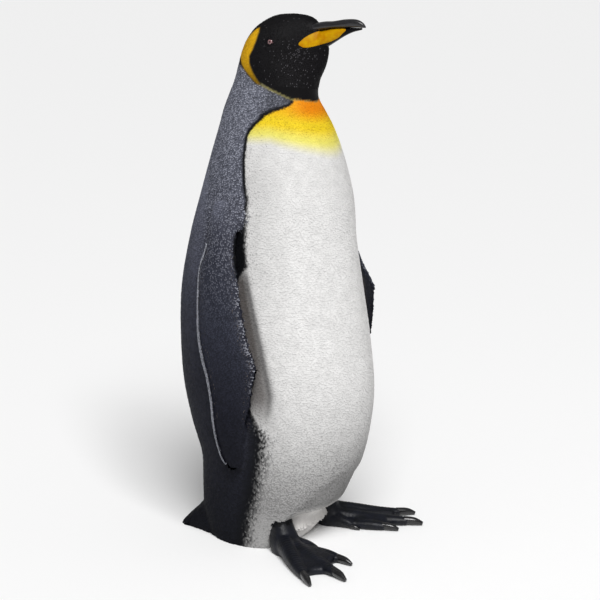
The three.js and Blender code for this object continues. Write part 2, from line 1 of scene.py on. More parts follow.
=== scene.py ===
"""A life-size painted resin statue of a king penguin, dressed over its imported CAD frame.

One skin is made from the figure's own forms, then covered with small solid feathers. The bill,
eyes, feet and claws are smooth pieces of their own. Shapes are worked out in millimetres and
written to Blender in metres. The bird faces -Y, so its right side is at -X.
"""

import math

import bmesh
import bpy
import numpy as np
from mathutils import Matrix, Vector, noise
from mathutils.bvhtree import BVHTree
from mathutils.kdtree import KDTree


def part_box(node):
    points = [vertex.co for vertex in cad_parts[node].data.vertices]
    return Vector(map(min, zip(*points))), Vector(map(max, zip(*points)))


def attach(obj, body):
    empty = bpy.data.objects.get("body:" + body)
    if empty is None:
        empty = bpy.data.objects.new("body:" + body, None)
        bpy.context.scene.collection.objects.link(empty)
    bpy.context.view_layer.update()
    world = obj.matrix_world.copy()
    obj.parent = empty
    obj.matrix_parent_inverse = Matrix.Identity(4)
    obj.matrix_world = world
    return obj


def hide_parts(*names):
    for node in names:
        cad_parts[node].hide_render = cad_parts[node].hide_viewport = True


MM = 0.001
SEED = 20
SIDES = {"right": -1, "left": 1}
rng = np.random.default_rng(SEED)

# ------------------------------------------------------------------ driving sizes
# The upright form: height, depth ahead of and behind the axis, half width, and how square the
# front and the back are.
BODY = [
    (0, 50, 131, 100, 2.5, 2.2),
    (38, 81, 147, 101, 2.5, 2.2),
    (85, 118, 151, 105, 2.4, 2.2),
    (145, 141, 151, 115, 2.2, 2.2),
    (205, 157, 172, 124, 2.1, 2.1),
    (275, 164, 187, 131, 2.1, 2.1),
    (375, 153, 191, 135, 2.1, 2.1),
    (450, 143, 187, 133, 1.96, 2.1),
    (545, 128, 167, 126, 1.93, 2.1),
    (610, 121, 149, 115, 2.1, 2.1),
    (680, 105, 130, 97, 2.1, 2.1),
    (735, 85, 115, 77, 2.1, 2.1),
    (757, 74, 110, 67, 2.05, 2.1),
    (781, 62, 101, 58, 2.0, 2.1),
    (808, 65.5, 90, 53, 1.9, 2.1),
    (835, 79, 83, 49.5, 1.75, 2.1),
    (856, 85, 77, 48, 1.6, 2.05),
    (876, 85.5, 67.5, 45.5, 1.5, 2.0),
    (896, 76, 51, 37, 1.55, 2.0),
    (909, 65.5, 32, 26, 1.75, 2.0),
    (917, 51, 13, 16, 1.9, 2.0),
    (921, 22, -20, 1, 2.0, 2.0),
]
# The folds on the lower belly and the hollow of the flank behind its crease: height, azimuth.
APRON = {"depth": 9, "top": 175, "full": 95, "edge": 20}
LOBE = {"depth": 15, "tall": (34, 48, 58, 76)}
FOLD = [(50, 43), (80, 39), (119, 27), (150, 12)]
HOLLOW = {"depth": 10, "edge": 12, "rear": (103, 118), "tall": (215, 295, 555, 600)}
CREASE = [(150, 66), (230, 61), (290, 58), (382, 65), (515, 78), (590, 82)]

# The flippers: drop below the shoulder, leading and trailing edge, how far out, camber, thickness.
SHOULDER = (104, 32, 640)
FLIPPER = [
    (0, -24, 40, -26, 6, 18),
    (30, -33, 42, 6, 7, 19),
    (46, -33, 44, 14, 8, 18),
    (62, -19, 44, 19, 8, 17),
    (98, -15, 44, 25, 9, 16),
    (135, -20, 55, 29, 9, 14.5),
    (179, -26, 59, 31, 9, 13.5),
    (222, -34, 60.5, 31, 9, 12.5),
    (256, -42, 60, 31, 9, 12),
    (284, -53, 56, 31, 8.5, 12),
    (301, -58, 52, 31, 8, 11.5),
    (318, -54, 46.5, 31, 8, 11),
    (340, -49, 41, 31, 7, 10.5),
    (370, -44, 36.5, 30, 6, 10),
    (412, -35, 34, 27, 5, 9),
    (454, -27, 27, 22, 4, 8),
    (476, -21, 18, 20, 2.5, 7),
    (488, -14, 6, 19, 1, 5),
]
# How each flipper is held: lift, swing and twist in degrees, shoulder thrust out and ahead.
HELD = {"right": (0, 0, 0, 0, 0), "left": (33.6, -6.6, -17.8, 8.7, 32.4)}
FLIPPER_AXIS = (10, 5, 0)  # where its length runs, from the shoulder

# The tail: distance behind the axis, half width and height.
TAIL = [(60, 80, 116), (105, 77, 92), (136, 71, 60), (162, 64, 31), (176, 57, 16)]

# The bill: distance ahead of the axis, top, bottom and half width.
BILL_UPPER = [
    (30, 902, 874, 19),
    (62, 909, 891, 15.5),
    (91, 910.5, 898.5, 10.5),
    (118, 915, 901, 8),
    (138, 915, 902.5, 6),
    (148, 910.5, 902.5, 3.8),
    (153, 905, 902.5, 1.2),
]
BILL_LOWER = [
    (30, 873.5, 846, 20),
    (62, 890.5, 858, 17),
    (86, 897, 870, 12.5),
    (100, 899.5, 878.5, 9.5),
    (114, 900.7, 887, 7),
    (130, 901.8, 894.5, 5),
    (146, 902.2, 899, 2.5),
]
# The coloured plate on the lower bill: ahead, height and half height.
PLATE = [
    (47, 874, 1.5),
    (54, 876, 7.5),
    (66, 880.5, 11.3),
    (79, 885, 11.2),
    (96, 890.5, 8.8),
    (110, 895, 5.2),
    (119.5, 898, 1.2),
]
PLATE_DROP = 2.6  # how much deeper the plate's lower edge is in its front half
PLATE_RISE = 1.1  # how far the plate's middle swells out over its edge
BILL_SQUARE = 2.3
# The upper bill's base: how far it sinks and narrows, and where it has come clear of the plumage.
BILL_BASE = {"sink": 2.6, "narrow": 0.1, "from": 58, "clear": 84}
NOSTRIL_GROOVE = {"depth": 0.8, "height": 0.25, "half": 0.2, "run": (55, 66, 104, 128)}

# The eyes: the ball's radius, and half the length and height of the opening between the lids.
EYE_RADIUS = 5.2
EYE_LIFT = {"long": 5.0, "high": 3.2}

# The feet, each in its own frame: ahead along the foot, out to the bird's outer side.
ANKLE = {"x": 76, "ahead": 47, "splay": 24.6}
TARSUS = [
    (0, 10, 31, 26),
    (18, 5, 28, 26),
    (34, -2, 24, 22),
    (50, -9, 21, 19),
    (66, -15, 15, 15),
]
TOES = {
    "outer": [(0, 8, 20, 15, 21), (45, 24, 15, 14, 16), (92, 40, 9.5, 12, 10.5), (127, 51, 7.5, 8.5, 7)],
    "middle": [(0, 0, 16, 16, 17), (50, 0, 12, 15, 14), (102, 0, 9, 13, 10.5), (145, 0, 8, 9, 7.5)],
    "inner": [(0, -10, 9, 14, 10.5), (40, -24, 7.5, 12.5, 9), (76, -36, 8, 11, 9), (101, -43, 7, 8, 7)],
    "hind": [(12, -18, 15, 9, 10), (30, -30, 12, 7.5, 8), (43, -37, 8, 5, 5.5)],
}
CLAWS = {
    "outer": [(121, 49.5, 9, 7, 7), (141, 56, 7.5, 5.8, 6.2), (154, 59.5, 3.8, 2.6, 3.2)],
    "middle": [(138, 0, 9.5, 7.4, 7.4), (158, 0, 8, 6.2, 6.6), (172, 0, 4, 2.8, 3.4)],
    "inner": [(95, -41.5, 8.5, 6.8, 6.6), (112, -46.5, 7.2, 5.6, 5.8), (124, -50, 3.6, 2.6, 3)],
    "hind": [(40, -36.5, 6.5, 4, 4.2), (48, -40.5, 5, 3.2, 3.4), (55, -43.5, 2, 1.3, 1.6)],
}
CLOSED = {"right": {"outer": 0, "inner": 0}, "left": {"outer": 3, "inner": 8}}
# The web's height at the ankle and how fast it falls ahead, and its scooped front edge.
WEB = {"high": 22, "fall": 0.1, "short": 0.93, "notch": 0.84, "heel": 10, "heel_half": 6}
WEB_DOME = ((1, 0), (1, 0.8), (0.93, 1.05), (0.8, 1.25), (0.5, 1.4), (0.2, 1.45))  # inset, height
SCUTE_PITCH = 6.2
SCUTE_RISE = 0.5
SCALE_SIZE = (4.2, 4.2, 3.4)
SCALE_RISE = 1.1
CUFF = {"low": 54, "lean": 4, "columns": 36}  # the feathers over each ankle: height, slant, number
TARSUS_OUT = 3  # how far the tarsus stands to the outer side of the middle toe
# The plumage arches over each ankle: place and half sizes of the hollow, and how square it is.
ARCH = {"x": 80, "ahead": 62, "z": 0, "wide": 31, "long": 42, "high": 50, "square": 3.5}
TOE_SQUARE = 2.2

# Rows of the pale edge of a flipper: turn round its section, and the drop that it starts from.
RIDGE_ROWS = [(15, 95), (20, 95), (25, 175), (30, 245)]
RIDGE_LIFT = 1.4
RIDGE_PITCH = 1.5

SKIN_VOXEL = 3.2
SKIN_INSET = 1.3  # the coat's depth over the skin
FOOT_VOXEL = 1.7
SOLE = 0.2  # height of the skin's under side
TAIL_SQUARE = 2.6
FLIPPER_PITCH = (2.9, 3.1)  # between rows of feathers, and along a row
BAKE_PATCH = 0.003  # the width of a feather's patch on the OFBake map

# ------------------------------------------------------------------ markings, painted shade and painted light
# Borders are read as (azimuth from the front in degrees, height) or the other way round.
MARK_Y = 25  # the markings' azimuths turn about this line
# Heights where the neck's feathers take over from the back's and the belly's from the breast's,
# and where the body's rows end under the hood.
HOOD_LOW, WAIST, HOOD_HIGH = 700, 360, 842
HOOD_EDGE = [
    (0, 776), (18, 781), (33, 784), (47, 793), (61, 800), (76, 807), (90, 812), (110, 820),
    (130, 829), (180, 838),
]
HOOD_LINE = [(0, 1.6), (25, 2.5), (45, 3.2), (70, 4), (90, 5)]  # azimuth, how wide the pale line is
CHEST_EDGE = [  # height, azimuth
    (0, 89), (50, 84), (90, 78), (150, 71), (210, 67), (250, 74), (300, 82), (380, 91), (430, 92),
    (465, 91), (490, 86), (512, 78), (540, 80), (575, 80), (600, 79), (620, 79), (645, 83), (685, 87),
    (720, 88), (730, 86), (740, 80), (756, 67), (763, 55), (768, 44), (773, 34), (779, 30), (800, 30),
]
YELLOW_END = [(0, 680), (11, 683), (24, 690), (41, 699), (61, 708), (86, 706)]
YELLOW_TOP = 778
YELLOW_STEPS = (("pale", 0.0, 0.32), ("yellow", 0.27, 0.55), ("gold", 0.58, 0.92))
# Heights or azimuths where a marking or a painted shade starts, is full, fades and is gone.
SHOULDER_TALL = (530, 560, 690, 720)
# FLANK_TALL gives the heights of the flank's painted shade.
FLANK_TALL = (225, 290, 480, 520)
BESIDE_TALL = (480, 530, 600, 650)
# The ARMPIT values place the black painted shade in the armpit gap.
ARMPIT_TALL = (470, 490, 545, 610)
ARMPIT_TURN = (76, 80, 98, 106)
ARMPIT_REACH = (122, 134)
CHEEK_TURN = (6, 20, 45, 70)
# GAPE places the painted highlights that crowd at the corner of the bill.
GAPE = (28, 862)  # azimuth and height of the flecks at the corner of the bill
PATCH_TALL = (803, 807, 894, 898)
PATCH_FRONT = [
    (805, 78), (815, 88), (826, 100), (838, 111), (850, 114), (860, 106), (874, 99), (889, 96),
    (897, 104),
]
PATCH_BACK = [
    (805, 86), (813, 100), (823, 119), (834, 140), (848, 162), (868, 162), (883, 151), (893, 128),
    (897, 108),
]
SMOOTH_BACK = [
    (500, 115), (530, 119), (570, 124), (610, 129), (640, 134), (660, 147), (700, 165), (760, 180),
]

TONES = {  # sRGB
    "hood": (17, 16, 18),
    # Painted highlight: the pale flecks on the hood's feather tips.
    "painted_glint": (112, 110, 114),
    "line": (130, 122, 72),
    "patch": (208, 158, 22),
    "patch_edge": (96, 76, 28),
    "orange": (222, 130, 16),
    "gold": (226, 178, 26),
    "yellow": (228, 198, 38),
    "pale": (230, 221, 108),
    "white": (221, 220, 219),
    # Painted light: lobe is brighter than white, so the recessed lobe between the legs looks lit.
    "lobe": (246, 243, 240),
    # Painted shade: flank darkens the hollow behind the flank's crease and the flippers' inner faces; crease
    # is a painted shadow line along that crease.
    "flank": (90, 84, 81),
    "crease": (44, 41, 41),
    "pit": (92, 90, 92),
    "speck": (150, 90, 30),
    "black": (15, 16, 19),
    "ridge": (176, 178, 188),
    "hair": (186, 188, 198),
    "lid": (112, 88, 90),
    "eye": (158, 118, 120),
    "iris": (70, 24, 24),
    "pupil": (10, 8, 9),
}
# The back darkens towards the bottom, partly its paint and partly painted shade for light from above.
BACK_TONES = [  # height, sRGB
    (0, 18, 19, 24),
    (120, 29, 30, 38),
    (300, 40, 41, 50),
    (430, 60, 62, 73),
    (560, 90, 92, 105),
    (660, 120, 123, 137),
    (760, 131, 134, 148),
    (840, 133, 136, 150),
]
# The flippers darken towards the bottom in the same way, partly paint and partly painted shade.
FLIPPER_TONES = [
    (150, 20, 21, 28),
    (250, 28, 29, 38),
    (400, 48, 50, 61),
    (540, 57, 59, 70),
    (640, 98, 100, 112),
]

# ------------------------------------------------------------------ studio
FLOOR_HALF = 30000
SUN = {"azimuth": 52, "rise": 50, "away": 5, "strength": 2.7, "angle": 34}
GLINT = {"place": (-1.2, -1.6, 3.0), "power": 14, "size": 0.5}
SKY = 0.26
MIDDLE = (0, 0, 0.5)  # the lamps face this point of the figure
# The camera stands 3 m away, ahead and to the bird's right, looking slightly down.
CAMERA_PLACE = (-2.598, -1.5, 1.2)
CAMERA_PITCH = 14.45
CAMERA_HEADING = -60
IMAGE_WIDTH = 600
CAMERA_FOCUS = 1790  # in widths of one pixel of the image
CAMERA_SHIFT = 16
SENSOR = 36


# ------------------------------------------------------------------ reading tables
def evenly(stations, count, spacing=2):
    """A smooth reading of stations at even shares of their length."""
    return smooth_table(stations, spacing)(np.linspace(0, 1, count))


def smooth_table(stations, spacing):
    """A smooth reading of stations by share of their length, which the first values measure."""
    values = np.array(stations, float)
    steps = steps_along(values[:, :spacing])
    last = len(steps) - 1

    def read(share):
        t = np.clip(np.asarray(share, float), 0, 1) * steps[-1]
        after = np.clip(np.searchsorted(steps, t, side="right"), 1, last)
        before = after - 1
        earlier = np.where(before > 0, before - 1, after)
        later = np.where(after < last, after + 1, before)
        span = steps[after] - steps[before]
        pull = span / 2 / (steps[before] - steps[earlier])
        push = span / 2 / (steps[later] - steps[after])
        p = (t - steps[before]) / span
        weights = (
            (-pull * p**3 + 2 * pull * p**2 - pull * p, earlier),
            ((1 + pull) * p**3 + (-1.5 - 2 * pull) * p**2 + (-0.5 + pull) * p + 1, before),
            ((-1 - push) * p**3 + (1.5 + push) * p**2 + 0.5 * p, after),
            (push * p**3 - push * p**2, later),
        )
        return sum(w[..., None] * values[i] for w, i in weights)

    return read


def against(table, at):
    """A straight-line reading of a table of pairs."""
    pairs = np.array(table, float)
    return np.interp(at, pairs[:, 0], pairs[:, 1])


def smoothstep(x, low, high):
    share = np.clip((x - low) / (high - low), 0, 1)
    return share * share * (3 - 2 * share)


def between(x, start, full, fade, gone):
    """0 before start, 1 from full to fade, and 0 again once gone."""
    return smoothstep(x, start, full) * (1 - smoothstep(x, fade, gone))


def bell(x, middle, half):
    return np.exp(-(((x - middle) / half) ** 2))


def vectors(x, y, z):
    """Points or directions from their three measures, each a number or an array."""
    return np.stack(np.broadcast_arrays(x, y, z), -1)


def steps_along(points):
    """How far along a line each of its points is."""
    return np.concatenate([[0], np.cumsum(np.linalg.norm(np.diff(points, axis=0), axis=1))])


def unit(v):
    return v / np.maximum(np.linalg.norm(v, axis=-1, keepdims=True), 1e-9)


def linear(tone):
    """sRGB out of 255 to linear colour."""
    c = np.asarray(tone, float) / 255
    return np.where(c <= 0.04045, c / 12.92, ((c + 0.055) / 1.055) ** 2.4)


TONE = {name: linear(value) for name, value in TONES.items()}


# ------------------------------------------------------------------ the figure's forms
read_body = smooth_table(BODY, 2)
BODY_SHARES = np.linspace(0, 1, 4000)
BODY_HEIGHTS = np.maximum.accumulate(read_body(BODY_SHARES)[:, 0])


def set_in(azimuth, z):
    """How far the body's surface is set in, by the folds of the lower belly and the flank's hollow."""
    turn = np.abs(azimuth)
    fold = against(FOLD, z)
    apron = smoothstep(fold - turn, -APRON["edge"] / 2, APRON["edge"] / 2)
    low = 1 - smoothstep(z, APRON["full"], APRON["top"])
    crease = against(CREASE, z)
    hollow = between(turn, crease, crease + HOLLOW["edge"], *HOLLOW["rear"])
    lobe = LOBE["depth"] * between(z, *LOBE["tall"])
    return apron * (APRON["depth"] * low + lobe) + HOLLOW["depth"] * hollow * between(z, *HOLLOW["tall"])


def arch_reach(middle, across, along, z):
    """How far a level line from the body's middle runs before it meets the hollow over an ankle."""
    rise = np.abs(z - ARCH["z"]) / ARCH["high"]
    share = np.maximum(1 - rise ** ARCH["square"], 0) ** (1 / ARCH["square"])
    start = (middle + ARCH["ahead"]) / ARCH["long"]
    step_x, step_y = np.abs(across) / ARCH["wide"], along / ARCH["long"]
    far = ARCH["x"] / ARCH["wide"]
    square = step_x**2 + step_y**2
    half = step_y * start - step_x * far
    inner = half**2 - square * (start**2 + far**2 - share**2)
    meets = (inner > 0) & (half < 0)
    return np.where(meets, (-half - np.sqrt(np.maximum(inner, 0))) / square, np.inf)


def body_at_share(azimuth, share):
    """Points of the body by azimuth and by share of its outline's length, from the floor up."""
    at = read_body(share)
    z, front, back, side, keel, spine = np.moveaxis(at, -1, 0)
    middle, depth = (back - front) / 2, (back + front) / 2
    across, along = np.sin(np.radians(azimuth)), -np.cos(np.radians(azimuth))
    power = np.where(along < 0, keel, spine)
    plain = squared(across / side, along / depth, power)
    radius = np.minimum(plain - set_in(azimuth, z), arch_reach(middle, across, along, z))
    return np.stack([radius * across, middle + radius * along, z + 0 * radius], -1)


def body_points(azimuth, z):
    return body_at_share(azimuth, np.interp(z, BODY_HEIGHTS, BODY_SHARES))


def beyond_body(p):
    """How far points stand out of the body's plain form, level from its middle."""
    at = read_body(np.interp(p[:, 2], BODY_HEIGHTS, BODY_SHARES))
    _, front, back, side, keel, spine = np.moveaxis(at, -1, 0)
    across, along = p[:, 0], p[:, 1] - (back - front) / 2
    power = np.where(along < 0, keel, spine)
    share = (np.abs(across) / side) ** power + (np.abs(along) / ((back + front) / 2)) ** power
    return np.hypot(across, along) * (1 - np.maximum(share, 0.01) ** (-1 / power))


read_flipper = smooth_table(FLIPPER, 1)
FLIPPER_LENGTH = FLIPPER[-1][0]


def flipper_hold(side):
    """The matrix that takes a flipper from its own frame to its place on the figure."""
    lift, swing, twist, thrust, ahead = HELD[side]
    place = Matrix.Translation((SHOULDER[0] + thrust, SHOULDER[1] - ahead, SHOULDER[2]))
    turn = Matrix.Rotation(-math.radians(lift), 4, "Y") @ Matrix.Rotation(-math.radians(swing), 4, "X")
    axis = Matrix.Translation(FLIPPER_AXIS)
    turn = turn @ axis @ Matrix.Rotation(math.radians(twist), 4, "Z") @ axis.inverted()
    return np.array(Matrix.Diagonal((SIDES[side], 1, 1, 1)) @ place @ turn)


def flipper_points(side, drop, turn):
    """Points of a flipper by drop and the turn round its section: 0 trailing, 180 leading, 90 outer."""
    at = read_flipper(np.asarray(drop) / FLIPPER_LENGTH)
    _, lead, trail, out, camber, thick = np.moveaxis(at, -1, 0)
    along, rise = np.cos(np.radians(turn)), np.sin(np.radians(turn))
    y = (lead + trail) / 2 + (trail - lead) / 2 * along
    x = out + camber * (1 - along**2) + thick / 2 * (1 - 0.25 * along) * rise
    points = np.stack([x, y, -np.asarray(drop) + 0 * x], -1)
    hold = flipper_hold(side)
    return points @ hold[:3, :3].T + hold[:3, 3]


def squared(across, along, power):
    """How far out a rounded square of half size 1 is, in that direction."""
    return (np.abs(across) ** power + np.abs(along) ** power) ** (-1 / power)


def oval(middle, across, up, columns, power):
    """Rings round middle points: arrays of (rows, 3) give (rows, columns, 3)."""
    turn = np.arange(columns) / columns * 2 * np.pi
    c, s = np.cos(turn), np.sin(turn)
    radius = squared(c, s, power)
    return middle[:, None] + across[:, None] * (radius * c)[:, None] + up[:, None] * (radius * s)[:, None]


# ------------------------------------------------------------------ meshes
def loft_faces(rows, columns):
    r, c = np.meshgrid(np.arange(rows - 1), np.arange(columns), indexing="ij")
    a, b = r * columns + c, r * columns + (c + 1) % columns
    quads = np.stack([a, b, b + columns, a + columns], -1).reshape(-1, 4)
    first, last = rows * columns, rows * columns + 1
    c = np.arange(columns)
    n = (c + 1) % columns
    end = (rows - 1) * columns
    fans = np.concatenate(
        [np.stack([first + 0 * c, n, c], -1), np.stack([last + 0 * c, end + c, end + n], -1)]
    )
    return np.concatenate([quads[:, [0, 1, 2]], quads[:, [0, 2, 3]], fans])


def loft(rings):
    """Points and triangles of a closed loft through rings of (rows, columns, 3)."""
    rows, columns, _ = rings.shape
    points = np.concatenate([rings.reshape(-1, 3), [rings[0].mean(0), rings[-1].mean(0)]])
    return points, loft_faces(rows, columns)


def joined(parts):
    """The points and faces of several forms as one list of each."""
    points, faces, count = [], [], 0
    for p, f in parts:
        points.append(p)
        faces.append(f + count)
        count += len(p)
    return np.concatenate(points), np.concatenate(faces)


def mesh_from(name, points, faces):
    """A mesh from millimetre points and faces of one size."""
    mesh = bpy.data.meshes.new(name)
    size = faces.shape[1]
    mesh.vertices.add(len(points))
    mesh.vertices.foreach_set("co", (points * MM).astype(np.float32).ravel())
    mesh.loops.add(faces.size)
    mesh.loops.foreach_set("vertex_index", faces.astype(np.int32).ravel())
    mesh.polygons.add(len(faces))
    mesh.polygons.foreach_set("loop_start", np.arange(0, faces.size, size, dtype=np.int32))
    mesh.update(calc_edges=True)
    mesh.validate()
    mesh.shade_smooth()
    return mesh


def object_from(name, mesh, material=None):
    obj = bpy.data.objects.new(name, mesh)
    bpy.context.scene.collection.objects.link(obj)
    if material:
        mesh.materials.append(material)
    return obj


def add_piece(name, mesh, material, slot, *replaced):
    """A piece of the figure's one body, with the nodes of the frame that it stands for."""
    obj = object_from(name, mesh, material)
    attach(obj, "root")
    if replaced:
        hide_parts(*replaced)


def face_out(mesh):
    """Turns every face of a closed mesh outwards."""
    bm = bmesh.new()
    bm.from_mesh(mesh)
    bmesh.ops.recalc_face_normals(bm, faces=bm.faces)
    bm.to_mesh(mesh)
    bm.free()


def points_of(mesh):
    co = np.empty(len(mesh.vertices) * 3, np.float32)
    mesh.vertices.foreach_get("co", co)
    return co.reshape(-1, 3).astype(float) / MM


def set_points(mesh, points):
    mesh.vertices.foreach_set("co", (points * MM).astype(np.float32).ravel())
    mesh.update()


def normals_of(mesh):
    found = np.empty(len(mesh.vertices) * 3, np.float32)
    mesh.vertex_normals.foreach_get("vector", found)
    return found.reshape(-1, 3).astype(float)


def edges_of(mesh):
    found = np.empty(len(mesh.edges) * 2, np.int32)
    mesh.edges.foreach_get("vertices", found)
    return found.reshape(-1, 2)


def smoothed(points, edges, rounds, weight=None):
    """Moves each point halfway to the mean of its neighbours, or less by its weight."""
    both = np.concatenate([edges, edges[:, ::-1]])
    count = np.maximum(np.bincount(both[:, 0], minlength=len(points)), 1)
    pull = 0.5 if weight is None else 0.5 * weight[:, None]
    for _ in range(rounds):
        total = np.stack(
            [np.bincount(both[:, 0], points[both[:, 1], k], len(points)) for k in range(3)], -1
        )
        points = points + pull * (total / count[:, None] - points)
    return points


def remeshed(name, points, faces, voxel):
    """One closed surface round all the forms, by voxels of that size, without loose bits inside."""
    work = object_from(name + "_work", mesh_from(name + "_work", points, faces))
    modifier = work.modifiers.new("voxels", "REMESH")
    modifier.mode = "VOXEL"
    modifier.voxel_size = voxel * MM
    mesh = bpy.data.meshes.new_from_object(work.evaluated_get(bpy.context.evaluated_depsgraph_get()))
    bpy.data.objects.remove(work)
    keep_largest(mesh)
    mesh.name = name
    return mesh


def keep_largest(mesh):
    """Leaves only the largest connected part of a mesh."""
    edges = edges_of(mesh)
    label = np.arange(len(mesh.vertices))
    while True:
        low = np.minimum(label[edges[:, 0]], label[edges[:, 1]])
        before = label.copy()
        np.minimum.at(label, edges[:, 0], low)
        np.minimum.at(label, edges[:, 1], low)
        label = label[label]
        if (label == before).all():
            break
    largest = np.bincount(label).argmax()
    if (label == largest).all():
        return
    bm = bmesh.new()
    bm.from_mesh(mesh)
    bm.verts.ensure_lookup_table()
    bmesh.ops.delete(bm, geom=[bm.verts[i] for i in np.nonzero(label != largest)[0]], context="VERTS")
    bm.to_mesh(mesh)
    bm.free()


def give_tones(mesh, colours):
    """Writes linear colours to the mesh, one for each point, as the attribute its material reads."""
    layer = mesh.color_attributes.new("tone", "FLOAT_COLOR", "POINT")
    rgba = np.concatenate([colours, np.ones((len(colours), 1))], 1)
    layer.data.foreach_set("color", rgba.astype(np.float32).ravel())


# ------------------------------------------------------------------ the frame
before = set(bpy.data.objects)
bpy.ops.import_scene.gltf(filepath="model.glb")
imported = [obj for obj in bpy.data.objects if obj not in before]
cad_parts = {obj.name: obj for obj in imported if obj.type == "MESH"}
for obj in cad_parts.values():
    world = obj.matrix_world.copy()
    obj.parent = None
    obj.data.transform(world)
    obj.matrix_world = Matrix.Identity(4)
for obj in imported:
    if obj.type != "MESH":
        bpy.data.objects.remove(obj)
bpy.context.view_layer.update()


def eye_place(side):
    low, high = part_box(f"eye_{side}")
    return (np.array(low) + np.array(high)) / 2 / MM


EYE_AT = {side: eye_place(side) for side in SIDES}


# ------------------------------------------------------------------ skin
def body_form():
    rows, columns = 330, 288
    share = np.linspace(0, 1, rows)[:, None]
    azimuth = (np.arange(columns) / columns * 360 - 180)[None, :]
    return loft(body_at_share(azimuth, share + 0 * azimuth))


def tail_form():
    behind, half, high = evenly(TAIL, 60).T
    rings = oval(vectors(0, behind, 0), vectors(half, 0, 0), vectors(0, 0, high), 120, TAIL_SQUARE)
    rings[..., 2] = np.maximum(rings[..., 2], 0)
    return loft(rings)


def flipper_form(side):
    drop, turn = np.meshgrid(np.linspace(0, FLIPPER_LENGTH, 190), np.arange(0, 360, 4), indexing="ij")
    return loft(flipper_points(side, drop, turn))


def opening(p, side):
    """How far each point is from the middle of an eye, 1 at the edge of the lids' opening."""
    ahead = EYE_AT[side][1] - p[:, 1]
    above = p[:, 2] - EYE_AT[side][2]
    pointed = 1 + 0.16 * np.clip(ahead / EYE_LIFT["long"], -1, 1.2)
    return np.hypot(ahead / (EYE_LIFT["long"] * pointed), above / EYE_LIFT["high"] * pointed)


def add_lids(mesh):
    """Finer faces round each eye, with an opening and a rolled lid drawn over the eyeball."""
    bm = bmesh.new()
    bm.from_mesh(mesh)
    for side in SIDES:
        centre = Vector(EYE_AT[side] * MM)
        near = [f for f in bm.faces if (f.calc_center_median() - centre).length < 15 * MM]
        edges = list({e for f in near for e in f.edges})
        bmesh.ops.subdivide_edges(bm, edges=edges, cuts=4, use_grid_fill=True)
    bmesh.ops.triangulate(bm, faces=[f for f in bm.faces if len(f.verts) > 4])
    bm.to_mesh(mesh)
    bm.free()
    points = points_of(mesh)
    for side in SIDES:
        centre = EYE_AT[side]
        near = np.linalg.norm(points - centre, axis=1) < 17
        p = points[near]
        ring = opening(p, side)
        flat = np.hypot(p[:, 1] - centre[1], p[:, 2] - centre[2])
        ball = np.sqrt(np.maximum(EYE_RADIUS**2 - flat**2, 0))
        depth = (p[:, 0] - centre[0]) * SIDES[side]
        lid = np.maximum(depth, np.where(flat < EYE_RADIUS, ball + 0.55, -9))
        roll = 0.7 * bell(ring, 1.35, 0.28) - 0.5 * bell(ring, 1.95, 0.3)
        inside = ball - 1.6
        share = smoothstep(ring, 0.92, 1.12)
        lid = depth + (lid - depth) * (1 - smoothstep(ring, 1.2, 2.0)) + roll
        p[:, 0] = centre[0] + SIDES[side] * (inside + (lid - inside) * share)
        points[near] = p
    set_points(mesh, points)


def skin_mesh():
    """The skin under the coat: body, tail and flippers as one closed surface, with the lids."""
    parts = [body_form(), tail_form(), flipper_form("right"), flipper_form("left")]
    mesh = remeshed("skin", *joined(parts), SKIN_VOXEL)
    points, edges = points_of(mesh), edges_of(mesh)
    points = smoothed(points, edges, 3)
    # The flippers' roots melt into the shoulders, and the tail's into the rump.
    shoulder = between(points[:, 2], 560, 590, 650, 670) * smoothstep(np.abs(points[:, 0]), 85, 105)
    rump = smoothstep(points[:, 1], 118, 130) * (1 - smoothstep(points[:, 2], 90, 130))
    rump *= points[:, 1] < 160
    points = smoothed(points, edges, 24, weight=np.maximum(shoulder, 0.8 * rump))
    set_points(mesh, points)
    points = points - SKIN_INSET * normals_of(mesh)
    under = points[:, 2] < SKIN_INSET + 1.5
    points[under, 2] = SOLE
    set_points(mesh, points)
    add_lids(mesh)
    return mesh


# ------------------------------------------------------------------ colours of the plumage
def mixed(a, b, share):
    return a + (b - a) * np.clip(share, 0, 1)[:, None]


def tone_at(table, z):
    rows = np.array(table, float)
    return linear(np.stack([np.interp(z, rows[:, 0], rows[:, k]) for k in (1, 2, 3)], -1))


def azimuth_of(p):
    """Degrees from straight ahead, round the markings' axis and the same on both sides."""
    return np.degrees(np.arctan2(np.abs(p[:, 0]), -(p[:, 1] - MARK_Y)))


def feather_ends(along, count):
    """How near its feather's tip each point is, and how much it takes of the specks there."""
    along = np.full(count, 0.6) if along is None else along
    return smoothstep(along, 0.55, 0.9), smoothstep(along, 0.88, 1.0)


class Spots:
    """Points of the plumage as the markings see them. chance is a random number for each feather,
    and along says how far along its feather each point is: the root is darker than the tip."""

    def __init__(self, p, chance, along=None):
        self.z = p[:, 2]
        # A shoulder held out ahead of the body keeps the colours of the back.
        shoulder = smoothstep(beyond_body(p), 4, 7) * between(self.z, *SHOULDER_TALL)
        self.turn = azimuth_of(p) + 30 * shoulder
        self.reach = np.maximum(np.hypot(p[:, 0], p[:, 1] - MARK_Y), 20)
        self.span = np.radians(1) * self.reach
        self.tip, self.speck = feather_ends(along, len(p))
        self.chance = chance


